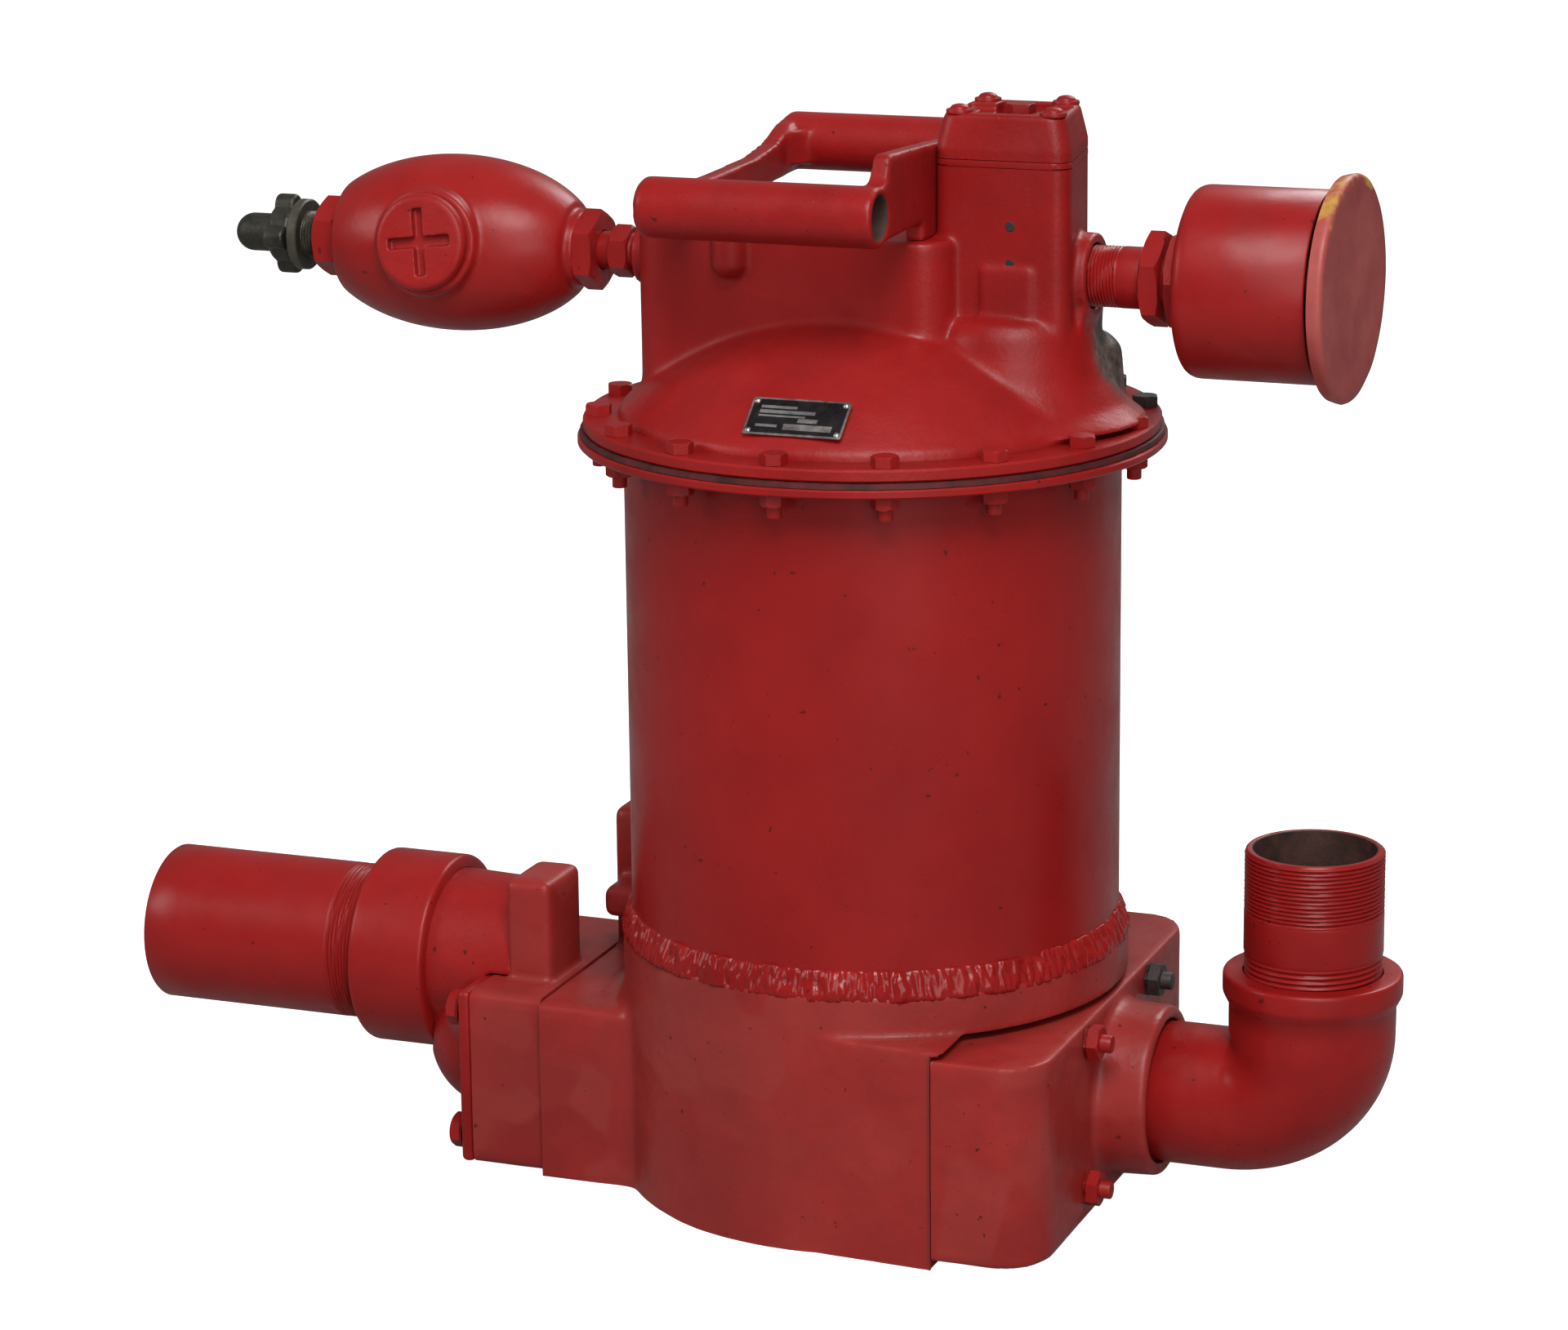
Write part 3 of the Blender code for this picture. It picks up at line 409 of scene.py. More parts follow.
def prism(bm, outline, low, high, bevel=0.0, segments=2, axis="Z", centre=(0, 0, 0)):
    """A flat outline given a height, with its two rims bevelled."""
    def at(p, h):
        point = {"Z": (p[0], p[1], h), "X": (h, p[0], p[1]), "Y": (p[0], h, p[1])}[axis]
        return bm.verts.new(Vector(point) + Vector(centre))
    bottom, top = [at(p, low) for p in outline], [at(p, high) for p in outline]
    faces = [bm.faces.new(bottom), bm.faces.new(top)]
    count = len(outline)
    for index in range(count):
        after = (index + 1) % count
        bm.faces.new((bottom[index], bottom[after], top[after], top[index]))
    if bevel:
        rims = list({e for f in faces for e in f.edges})
        bmesh.ops.bevel(bm, geom=rims, offset=bevel, segments=segments, profile=0.5, affect="EDGES")
    return bm


def lofted(bm, tiers):
    """A skin over stacked outlines of equal count, each (height, outline)."""
    rows = [[bm.verts.new((p[0], p[1], height)) for p in outline] for height, outline in tiers]
    bm.faces.new(rows[0])
    bm.faces.new(rows[-1])
    for first, second in zip(rows, rows[1:]):
        for index in range(len(first)):
            after = (index + 1) % len(first)
            bm.faces.new((first[index], first[after], second[after], second[index]))
    return bm


def hexagon(radius, turn=0.0):
    return [(radius * math.cos(turn + k * math.pi / 3), radius * math.sin(turn + k * math.pi / 3))
            for k in range(6)]


def arc_outline(corners, radii, steps=8):
    """Convex corners, anticlockwise, each rounded by its own arc."""
    points = []
    for index, corner in enumerate(corners):
        corner = Vector(corner)
        before = (Vector(corners[index - 1]) - corner).normalized()
        after = (Vector(corners[(index + 1) % len(corners)]) - corner).normalized()
        half = before.angle(after) / 2
        centre = corner + (before + after).normalized() * radii[index] / math.sin(half)
        start = corner + before * radii[index] / math.tan(half) - centre
        for step in range(steps + 1):
            points.append(tuple(centre + Matrix.Rotation((math.pi - 2 * half) * step / steps, 2) @ start))
    return points


def model_mesh(bm, name):
    bmesh.ops.recalc_face_normals(bm, faces=bm.faces)
    mesh = bpy.data.meshes.new(name)
    bm.to_mesh(mesh)
    bm.free()
    return mesh


def as_piece(name, bm, material, nodes=(), body="pump", angle=32):
    return dress(name, model_mesh(bm, name), material, nodes, body, angle)


def dress(name, mesh, material, nodes=(), body="pump", angle=32):
    mesh.shade_smooth()
    if angle:
        mesh.set_sharp_from_angle(angle=math.radians(angle))
    mesh.materials.clear()
    mesh.materials.append(material)
    piece = placed(name, mesh)
    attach(piece, body)
    if nodes:
        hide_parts(*nodes)
    return piece


def modified(bm, name, *steps):
    """The mesh after the given modifiers, each a (kind, settings) pair."""
    mesh = model_mesh(bm, name)
    holder = placed(name + "_work", mesh)
    for kind, settings in steps:
        modifier = holder.modifiers.new(kind, kind)
        for key, value in settings.items():
            setattr(modifier, key, value)
    bpy.context.view_layer.update()
    result = bpy.data.meshes.new_from_object(holder.evaluated_get(bpy.context.evaluated_depsgraph_get()))
    bpy.data.objects.remove(holder, do_unlink=True)
    bpy.data.meshes.remove(mesh)
    return result


def table(items, field, width=3, kind=float):
    """One row of numbers for each vertex or edge."""
    rows = np.empty(len(items) * width, kind)
    items.foreach_get(field, rows)
    return rows.reshape(-1, width)


def combined(bm, tool_bm, operation):
    """One closed shape cut by, or kept within, another."""
    tool = placed("tool", model_mesh(tool_bm, "tool"))
    out = modified(bm, "combined", ("BOOLEAN", {"operation": operation, "solver": "EXACT", "object": tool}))
    bpy.data.objects.remove(tool, do_unlink=True)
    return out


def smoothed(mesh, rounds, weight=None):
    """Relaxes a mesh towards its neighbours' middle, more where weight is near 1."""
    count = len(mesh.vertices)
    place = table(mesh.vertices, "co")
    edges = table(mesh.edges, "vertices", 2, int)
    valence = np.bincount(edges.ravel(), minlength=count)[:, None]
    amount = np.ones((count, 1)) if weight is None else weight(place)[:, None]
    for _ in range(rounds):
        total = np.zeros_like(place)
        for axis in range(3):
            total[:, axis] = (np.bincount(edges[:, 0], place[edges[:, 1], axis], count)
                              + np.bincount(edges[:, 1], place[edges[:, 0], axis], count))
        place += amount * 0.5 * (total / valence - place)
    mesh.vertices.foreach_set("co", place.ravel())
    mesh.update()
    return mesh


def casting(name, adds, cuts, voxel, rounds, weight=None, planes=()):
    """Overlapping solids, cut and melted into one casting, then faced off at planes of (point, normal)."""
    voxel *= 1.0
    steps = []
    tool = None
    if cuts:
        tool = placed(name + "_cuts", model_mesh(cuts, name + "_cuts"))
        steps.append(("BOOLEAN", {"operation": "DIFFERENCE", "solver": "EXACT", "use_self": True,
                                  "object": tool}))
    steps.append(("REMESH", {"mode": "VOXEL", "voxel_size": voxel}))
    mesh = modified(adds, name, *steps)
    if tool:
        bpy.data.objects.remove(tool, do_unlink=True)
    smoothed(mesh, rounds, weight)
    if planes:
        work = bmesh.new()
        work.from_mesh(mesh)
        for point, normal in planes:
            every = work.verts[:] + work.edges[:] + work.faces[:]
            made = bmesh.ops.bisect_plane(work, geom=every, plane_co=point, plane_no=normal,
                                          clear_outer=True, dist=0.00001)["geom_cut"]
            rim = [e for e in made if isinstance(e, bmesh.types.BMEdge)]
            bmesh.ops.triangle_fill(work, use_beauty=True, use_dissolve=False, edges=rim,
                                    normal=normal)
        bmesh.ops.triangulate(work, faces=[f for f in work.faces if len(f.verts) > 4])
        work.to_mesh(mesh)
        work.free()
    return mesh


def fade(values, low, high):
    """0 below low, 1 above high, with a smooth step between."""
    t = np.clip((values - low) / (high - low), 0, 1)
    return t * t * (3 - 2 * t)


def thread_radius(radius, pitch, depth, start, end):
    """A shape for spun() that cuts a helical thread between two heights."""
    def shape(angle, r, h, _index):
        if r < radius - 0.0005 or not start < h < end:
            return r, h
        phase = (h / pitch - angle / math.tau) % 1
        ramp = min(1.0, (h - start) / pitch, (end - h) / pitch)
        return r - depth * ramp * abs(2 * phase - 1) ** 1.3, h
    return shape


def threads(split, upper, lower):
    """One thread above a height and another below it."""
    return lambda angle, r, h, index: (upper if h > split else lower)(angle, r, h, index)


def heights(start, end, step=0.00035):
    count = max(2, round(abs(end - start) / step))
    return [start + (end - start) * k / count for k in range(count + 1)]


def bolt_model(head, nut, across, stud):
    """A stud with two chamfered hexes on it, each (low, high, chamfered on top), drawn along +Z."""
    bm = bmesh.new()
    for low, high, up in (head, nut):
        part = bmesh.new()
        prism(part, hexagon(across), low, high)
        cone = [(0, high), (across * 0.86, high), (across * HEX_TIP, high - 0.0011), (across * HEX_TIP, low),
                (0, low)] if up else [(0, high), (across * HEX_TIP, high), (across * HEX_TIP, low + 0.0011),
                                      (across * 0.86, low), (0, low)]
        part = combined(part, spun(bmesh.new(), cone, 48), "INTERSECT")
        bm.from_mesh(part)
        bpy.data.meshes.remove(part)
    radius, start, end = stud
    spun(bm, rounded([(0, end), (radius, end), (radius, start), (0, start)], 0.0008, 2), 24)
    return bm


def stamped(name, model, place, turn, material, nodes, axis="Z"):
    """One more copy of a model mesh, turned about its own axis and put in place."""
    spin = {"Z": Matrix.Identity(4), "X": Matrix.Rotation(math.pi / 2, 4, "Y"),
            "-X": Matrix.Rotation(-math.pi / 2, 4, "Y")}[axis]
    mesh = model.copy()
    mesh.transform(Matrix.Translation(place) @ spin @ Matrix.Rotation(turn, 4, "Z"))
    return dress(name, mesh, material, nodes)


# ---------------------------------------------------------------- tank, flange and bolts
TANK_R, WALL = 0.1365, 0.005
TANK_LOW, TANK_HIGH = span("tank_shell", "z")
FLANGE_LOW, FLANGE_HIGH = span("tank_flange", "z")
COVER_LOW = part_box("cover_casting")[0].z
RIM_TOP = 0.4375
BOLT_CIRCLE, RIM_BOLTS = 0.1495, 16


def make_tank():
    bm = bmesh.new()
    wall = [(TANK_R, z) for z in heights(TANK_HIGH, TANK_LOW, 0.02)]
    spun(bm, wall + [(TANK_R - WALL, TANK_LOW), (TANK_R - WALL, TANK_HIGH)], 192, closed=True)
    as_piece("tank", bm, TUBE, ["tank_shell"])

    bm = bmesh.new()
    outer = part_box("tank_flange")[1].x - 0.0001
    edge = [(TANK_R + 0.0003, FLANGE_HIGH), (outer - 0.0008, FLANGE_HIGH), (outer, FLANGE_HIGH - 0.0008),
            (outer, FLANGE_LOW + 0.001), (outer - 0.001, FLANGE_LOW), (TANK_R + 0.0003, FLANGE_LOW)]
    spun(bm, edge, 192, closed=True)
    as_piece("flange_ring", bm, SMOOTH, ["tank_flange"])

    bm = bmesh.new()
    low, high = span("cover_gasket", "z")
    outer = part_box("cover_gasket")[1].x - 0.0012

    def ragged(angle, r, h, _index):
        if r < 0.15:
            return r, h
        return r + 0.0007 * noise.noise(Vector((math.cos(angle) * 30, math.sin(angle) * 30, 3.0))), h
    spun(bm, [(0.133, high), (outer, high), (outer, low), (0.133, low)], 256, closed=True, shape=ragged)
    as_piece("gasket", bm, GASKET, ["cover_gasket"])

    bm = bmesh.new()
    low, high = span("tank_weld_bead", "z")
    inner = TANK_R - 0.0006
    bead = [(inner, high + 0.0008), (inner + 0.001, high + 0.0002), (inner + 0.0018, high - 0.0012),
            (inner + 0.0026, high - 0.0028), (inner + 0.0034, high - 0.0048), (inner + 0.0042, high - 0.0068),
            (inner + 0.005, high - 0.009), (inner + 0.0057, high - 0.0112), (inner + 0.0061, high - 0.0132),
            (inner + 0.0062, high - 0.015), (inner + 0.0054, high - 0.0162), (inner, high - 0.015)]

    def rippled(angle, r, h, index):
        if index in (0, len(bead) - 1):
            return r, h
        around = Vector((math.cos(angle), math.sin(angle), 0))
        lump = noise.noise(around * 11 + Vector((0, 0, h * 50)))
        blob = noise.noise(around * 34 + Vector((0, 0, h * 160)))
        fine = noise.noise(around * 90 + Vector((0, 0, h * 420)))
        wave = noise.noise(around * 6 + Vector((0, 0, 5)))
        scale = math.sin(210 * angle + 4 * lump + 260 * (h - low)) * 0.00022
        out = 0.0012 * lump + 0.0014 * blob + 0.0006 * fine + scale * 0.7
        return max(r + out, TANK_R - 0.0004), h + 0.0016 * wave + 0.001 * blob
    spun(bm, bead, 1440, closed=True, shape=rippled)
    as_piece("weld_bead", bm, WELD, ["tank_weld_bead"], angle=0)

    model = bolt_model((RIM_TOP + 0.0002, 0.4436, True), (0.4153, FLANGE_LOW - 0.0002, False),
                       0.0076, (0.004, 0.409, 0.44))
    mesh = model_mesh(model, "flange_bolt")
    for index in range(RIM_BOLTS):
        angle = index * math.tau / RIM_BOLTS
        place = (BOLT_CIRCLE * math.cos(angle), BOLT_CIRCLE * math.sin(angle), 0)
        shade = DARK if index in (1, 2) else BOLT
        stamped(f"rim_bolt_{index + 1:02d}", mesh, place, 0.9 * index, shade,
                [f"flange_bolt_{index + 1:02d}"])


# ---------------------------------------------------------------- cover
DOME_R, DOME_Z, DOME_RISE, DOME_POWER = 0.139, 0.441, 0.06, 2.2
AIR_Z = 0.5183
AIR_AXIS = (0, 0, AIR_Z)
CHEST_X = 0.085
CHAMBER_TOP, CHEST_TOP = 0.54, 0.5787
CHEST = [(0.047, -0.034), (0.123, -0.034), (0.113, 0.034), (0.047, 0.034)]
CHEST_ROUND = [0.009, 0.009, 0.007, 0.007]


def dome_height(radius, drop=0.0):
    return DOME_Z - drop + DOME_RISE * (1 - (radius / DOME_R) ** DOME_POWER)


def make_cover():
    adds = bmesh.new()
    dome = [(DOME_R * k / 20, dome_height(DOME_R * k / 20)) for k in range(21)]
    spun(adds, dome + [(DOME_R, 0.43), (0, 0.43)], 96)
    chamber = arc_outline([(-0.121, -0.052), (0.06, -0.052), (0.06, 0.052), (-0.121, 0.052)], [0.02] * 4)
    prism(adds, chamber, 0.446, CHAMBER_TOP, 0.003)
    prism(adds, arc_outline(CHEST, CHEST_ROUND), 0.455, CHEST_TOP + 0.004)
    spun(adds, [(0, 0.5), (0.032, 0.5), (0.04, 0.4965), (0.044, 0.49), (0.046, 0.48),
                (0.05, 0.466), (0.06, 0.45), (0.074, 0.44), (0, 0.44)], 64,
         centre=(CHEST_X - 0.0015, -0.005, 0))
    rod(adds, 0.023, 0.1285, 0.09, 64, "X", AIR_AXIS)
    boxed(adds, (0.095, -0.019, 0.47), (0.1265, 0.019, AIR_Z))
    rod(adds, 0.0175, -0.1, -0.1345, 64, "X", AIR_AXIS)
    spun(adds, [(0, CHAMBER_TOP - 0.001), (0.01, CHAMBER_TOP - 0.001), (0.01, 0.522), (0.006, 0.517),
                (0, 0.517)], 32, centre=(-0.062, -0.0515, 0))
    spun(adds, [(0, 0.484), (0.014, 0.484), (0.022, 0.476), (0.025, 0.44), (0, 0.44)], 48,
         centre=(0.1125, 0.022, 0))
    boxed(adds, (0.074, -0.0362, 0.495), (0.103, -0.03, 0.526), 0.0012)
    cuts = bmesh.new()
    ceiling = [(0.1305 * k / 12, dome_height(DOME_R * k / 12, 0.011)) for k in range(12)]
    spun(cuts, ceiling + [(0.1305, 0.434), (0.1305, 0.42), (0, 0.42)], 72)
    rod(cuts, 0.0112, 0.6, 0.42, 48, centre=(CHEST_X, 0, 0))
    rod(cuts, 0.0112, -0.122, -0.16, 48, "X", AIR_AXIS)
    rod(cuts, 0.0175, 0.16, 0.112, 48, "X", AIR_AXIS)

    def weight(place):
        z = place[:, 2]
        low = 1 - fade(z, 0.48, 0.505)
        return 0.16 + 0.84 * low * (1 - fade(-z, -0.441, -0.436))
    mesh = casting("cover_body", adds, cuts, 0.0014, 22, weight,
                   [((0, 0, CHEST_TOP), (0, 0, 1)), ((0, 0, COVER_LOW + HAIR), (0, 0, -1))])
    dress("cover_body", mesh, COVER, ["cover_casting"], angle=50)

    bm = bmesh.new()
    outer = 0.1585
    edge = [(0.132, RIM_TOP - 0.002), (0.137, RIM_TOP + 0.0003), (outer - 0.0012, RIM_TOP),
            (outer, RIM_TOP - 0.0012), (outer, COVER_LOW + 0.001), (outer - 0.0006, COVER_LOW + 0.0002),
            (0.132, COVER_LOW + 0.0002)]

    def wavy(angle, r, h, _index):
        if r < 0.15:
            return r, h
        return r - 0.0004 + 0.0004 * noise.noise(Vector((math.cos(angle) * 5, math.sin(angle) * 5, 1.0))), h
    spun(bm, edge, 256, closed=True, shape=wavy)
    as_piece("cover_rim", bm, CAST)

    # Two near-black discs stand for the vent holes in the chest's front: their black is painted shade of the
    # holes' insides.
    for index, height in enumerate((0.548, 0.528)):
        bm = bmesh.new()
        spun(bm, [(0, 0.0002), (0.0022, 0.0002), (0.0027, -0.0003), (0.0027, -0.004), (0, -0.004)], 24)
        bmesh.ops.transform(bm, verts=bm.verts, matrix=Matrix.Translation((0.0905, -0.0343, height))
                            @ Matrix.Rotation(math.pi / 2, 4, "X"))
        as_piece(f"vent_hole_shade_{index + 1}", bm, BLACK)


def inset(corners, amount):
    middle = sum((Vector(c) for c in corners), Vector((0, 0))) / len(corners)
    return [Vector(c) - Vector((math.copysign(amount, (Vector(c) - middle).x),
                                math.copysign(amount, (Vector(c) - middle).y))) for c in corners]


SCREWS = [(0.059, -0.0235), (0.111, -0.0235), (0.103, 0.0235), (0.059, 0.0235)]


def make_valve_cover():
    low, high = span("valve_gasket", "z")
    plate = prism(bmesh.new(), arc_outline(CHEST, CHEST_ROUND), low, high, 0.0005, 1)
    as_piece("valve_plate", plate, BOLT, ["valve_gasket"])
    low, top = span("valve_cover", "z")
    adds = bmesh.new()
    tiers = [(low - 0.003, 0), (0.588, 0), (0.5925, 0.0008), (0.5985, 0.002), (top - 0.0022, 0.0032),
             (top - 0.0007, 0.004), (top, 0.0056)]
    lofted(adds, [(height, arc_outline(inset(CHEST, back), CHEST_ROUND)) for height, back in tiers])
    cuts = bmesh.new()
    boxed(cuts, (0.0675, -0.0235, 0.598), (0.0985, 0.0235, 0.63), 0.004)
    boxed(cuts, (0.052, -0.013, 0.602), (0.111, 0.013, 0.63), 0.003)
    rod(cuts, 0.0068, 0.63, 0.57, 32, centre=(CHEST_X, 0, 0))
    mesh = casting("valve_cap", adds, cuts, 0.0007, 3, None, [((0, 0, low + HAIR), (0, 0, -1))])
    dress("valve_cap", mesh, CAST, ["valve_cover"], angle=50)
    for index, (x, y) in enumerate(SCREWS):
        bm = bmesh.new()
        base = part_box(f"valve_cover_screw_{index + 1}")[1].z - 0.004
        head = [(0, base + 0.0039), (0.0022, base + 0.0038), (0.004, base + 0.0032), (0.005, base + 0.0022),
                (0.0053, base + 0.0014), (0.007, base + 0.0012), (0.0073, base + 0.0006),
                (0.0072, base - 0.0008), (0.003, base - 0.0008), (0.003, 0.56), (0, 0.56)]
        spun(bm, head, 48, centre=(x, y, 0))
        as_piece(f"cap_screw_{index + 1}", bm, BOLT, [f"valve_cover_screw_{index + 1}"])
    bm = bolt_model((0.5985, 0.609, True), (0.5975, 0.599, False), 0.0085,
                    (0.006, 0.5895, 0.6))
    mesh = model_mesh(bm, "plug")
    mesh.transform(Matrix.Translation((CHEST_X, 0, 0)) @ Matrix.Rotation(0.35, 4, "Z"))
    dress("cap_plug", mesh, BOLT, ["valve_cover_plug"])


def make_handle():
    left, right, web = -0.088, 0.0465, 0.0105
    front, back = Vector((0, -0.112, 0.5624)), Vector((0, 0.102, 0.5685))
    adds = bmesh.new()
    for bar in (front, back):
        end = 0.0015
        spun(adds, [(0, right), (0.0163 - end, right), (0.0163, right - end), (0.0163, left + 0.004),
                    (0.0123, left), (0, left)], 64, "X", (0, bar.y, bar.z))
    profile = [(-0.114, 0.548), (-0.06, 0.5495), (0.03, 0.55), (0.102, 0.553), (0.104, 0.583),
               (0.084, 0.58), (0.062, 0.5715), (0.03, 0.568), (-0.03, 0.567), (-0.08, 0.568),
               (-0.098, 0.574), (-0.112, 0.577)]
    tall = profile[:5] + [(0.085, 0.584), (0.000, 0.588), (-0.0265, 0.5898), (-0.093, 0.593),
                          (-0.0965, 0.5915), (-0.1, 0.582), (-0.104, 0.5785), (-0.112, 0.577)]
    for low_x, outline in ((left, profile), (right - web, tall)):
        prism(adds, outline, low_x, low_x + web, 0.0012, 2, "X")
        boxed(adds, (low_x, -0.046, CHAMBER_TOP - 0.001), (low_x + web, 0.046, 0.56))
    for bar, way in ((front, 1), (back, -1)):
        for edge, turn in ((left + web, 1), (right - web, -1)):
            rim = bar.y + way * 0.012
            corner = [(edge - turn * 0.003, rim), (edge + turn * 0.013, rim),
                      (edge + turn * 0.005, rim + way * 0.008), (edge, rim + way * 0.016),
                      (edge - turn * 0.003, rim + way * 0.016)]
            prism(adds, corner, bar.z - 0.011, bar.z + 0.0085, 0.0015, 2)
    cuts = bmesh.new()
    rod(cuts, 0.0116, 0.1, -0.2, 48, "X", (0, front.y, front.z))
    mesh = casting("handle", adds, cuts, 0.0012, 9, None,
                   [((0, 0, CHAMBER_TOP + 0.0004), (0, 0, -1))])
    piece = dress("handle", mesh, CAST, ["handle_frame"], angle=50)
    # The bar's bore gets the dark rust finish: partly bare iron, partly painted shade.
    darken_bore(piece, front, "X", 0.0124)


def make_nameplate():
    radius = 0.122
    slope = math.atan(DOME_RISE * DOME_POWER * (radius / DOME_R) ** (DOME_POWER - 1) / DOME_R)
    normal = Vector((0, -math.sin(slope), math.cos(slope)))
    centre = Vector((0.003, -radius, dome_height(radius))) + normal * 0.0012
    matrix = Matrix.Translation(centre) @ Matrix.Rotation(slope, 4, "X")
    half_x, half_y = 0.0275, 0.0125
    plate = arc_outline([(-half_x, -half_y), (half_x, -half_y), (half_x, half_y), (-half_x, half_y)],
                        [0.0015] * 4, 4)

    def fixed(name, bm, material, nodes=()):
        bmesh.ops.transform(bm, verts=bm.verts, matrix=matrix)
        as_piece(name, bm, material, list(nodes))
    bm = bmesh.new()
    prism(bm, plate, -0.0004, 0.0002, 0.0001, 1)
    fixed("plate_back", bm, SILVER, ["nameplate"])
    bm = bmesh.new()
    inner = [(x * 0.955, y * 0.9) for x, y in plate]
    prism(bm, inner, 0.00015, 0.00035, 0.0001, 1)
    fixed("plate_face", bm, PLATE)
    for index, (x, y) in enumerate(((-1, -1), (1, -1), (1, 1), (-1, 1))):
        bm = bmesh.new()
        spun(bm, [(0, 0.0013), (0.0009, 0.0011), (0.0016, 0.0006), (0.0018, 0.0002), (0, 0.0002)], 20,
             centre=(x * (half_x - 0.0028), y * (half_y - 0.0026), 0))
        fixed(f"plate_rivet_{index + 1}", bm, SILVER)
    bands = [(-0.0215, 0.0062, 0.02, 0.0009), (-0.0215, 0.003, 0.031, 0.0011),
             (-0.0215, 0.0002, 0.026, 0.0006), (-0.0215, -0.0065, 0.012, 0.0009)]
    bm = bmesh.new()
    for x, y, length, half in bands:
        boxed(bm, (x, y - half, 0.0003), (x + length, y + half, 0.00042))
    fixed("plate_bands", bm, BAND)
    bm = bmesh.new()
    boxed(bm, (-0.006, -0.0088, 0.0003), (0.021, -0.0048, 0.00045))
    boxed(bm, (0.001, -0.0035, 0.0003), (0.012, -0.0008, 0.00045))
    fixed("plate_fields", bm, SILVER)


# ---------------------------------------------------------------- base and suction side
BASE_TOP = 0.147
PARTING_X = 0.0825
BOX_X = -0.172


def make_base():
    adds = bmesh.new()
    spun(adds, [(0, BASE_TOP), (0.1405, BASE_TOP), (0.142, BASE_TOP - 0.002), (0.142, -0.006),
                (0, -0.006)], 128)
    pad = [(-0.03, -0.1385), (0.018, -0.1411), (PARTING_X + 0.008, -0.1456), (PARTING_X + 0.008, 0.1456),
           (0.018, 0.1411), (-0.03, 0.1385)]
    prism(adds, pad, -0.006, 0.1235, 0.0015, 2)
    boxed(adds, (BOX_X - 0.006, -0.083, -0.006), (-0.06, 0.083, 0.103), 0.004, 3)
    boxed(adds, (-0.173, 0.03, 0.09), (-0.144, 0.08, 0.187), 0.006, 3)
    boxed(adds, (-0.17, 0.006, 0.127), (-0.128, 0.036, 0.146), 0.005, 3)
    cuts = bmesh.new()
    boxed(cuts, (PARTING_X + 0.0035, -0.2, -0.02), (0.2, 0.2, 0.122))
    well = bmesh.new()
    rod(well, 0.122, 0.17, 0.012, 96)
    wall = bmesh.new()
    boxed(wall, (0.07, -0.2, -0.01), (0.2, 0.2, 0.13))
    cuts.from_mesh(combined(well, wall, "DIFFERENCE"))
    boxed(cuts, (BOX_X - 0.02, -0.046, 0.013), (-0.095, 0.046, 0.0985))
    rod(cuts, 0.033, 0.12, 0.06, 48, "X", (0, 0, 0.064))

    def weight(place):
        x, y, z = place[:, 0], place[:, 1], place[:, 2]
        junction = np.exp(-((np.hypot(x, y) - 0.142) / 0.016) ** 2)
        side = 1 - fade(x, -0.09, -0.05)
        low = np.clip(0.07 + 0.93 * junction * side, 0, 1) * (1 - fade(x, 0.06, 0.078) * 0.9)
        return low * (1 - 0.8 * fade(z, 0.126, 0.134) * (1 - side))
    mesh = casting("base_body", adds, cuts, 0.0016, 45, weight,
                   [((0, 0, HAIR), (0, 0, -1)), ((BOX_X + HAIR, 0, 0), (-1, 0, 0))])
    work = bmesh.new()
    work.from_mesh(mesh)
    low = [f for f in work.faces if f.calc_center_median().x > PARTING_X - 0.004
           and f.calc_center_median().z < 0.1215]
    for vert in {v for f in low for v in f.verts}:
        if vert.co.z < 0.121 and vert.co.x > PARTING_X - 0.0016:
            vert.co.x = PARTING_X
    work.to_mesh(mesh)
    work.free()
    roughened(mesh, 0.0005)
    dress("base_body", mesh, BASE_PAINT, ["base_casting"], angle=40)


def roughened(mesh, height):
    """Shallow ground facets and dents of a sand casting, as real shape."""
    normals, place = table(mesh.vertices, "normal"), table(mesh.vertices, "co")
    dent = np.array([noise.noise(Vector(p) * 26) + 0.4 * noise.noise(Vector(p) * 75) for p in place])
    inward = -height * (0.5 + 0.5 * np.clip(dent, -1, 1))
    flat = np.abs(normals).max(axis=1) > 0.9995
    inward[flat] *= 0.15
    place += normals * inward[:, None]
    mesh.vertices.foreach_set("co", place.ravel())
    mesh.update()


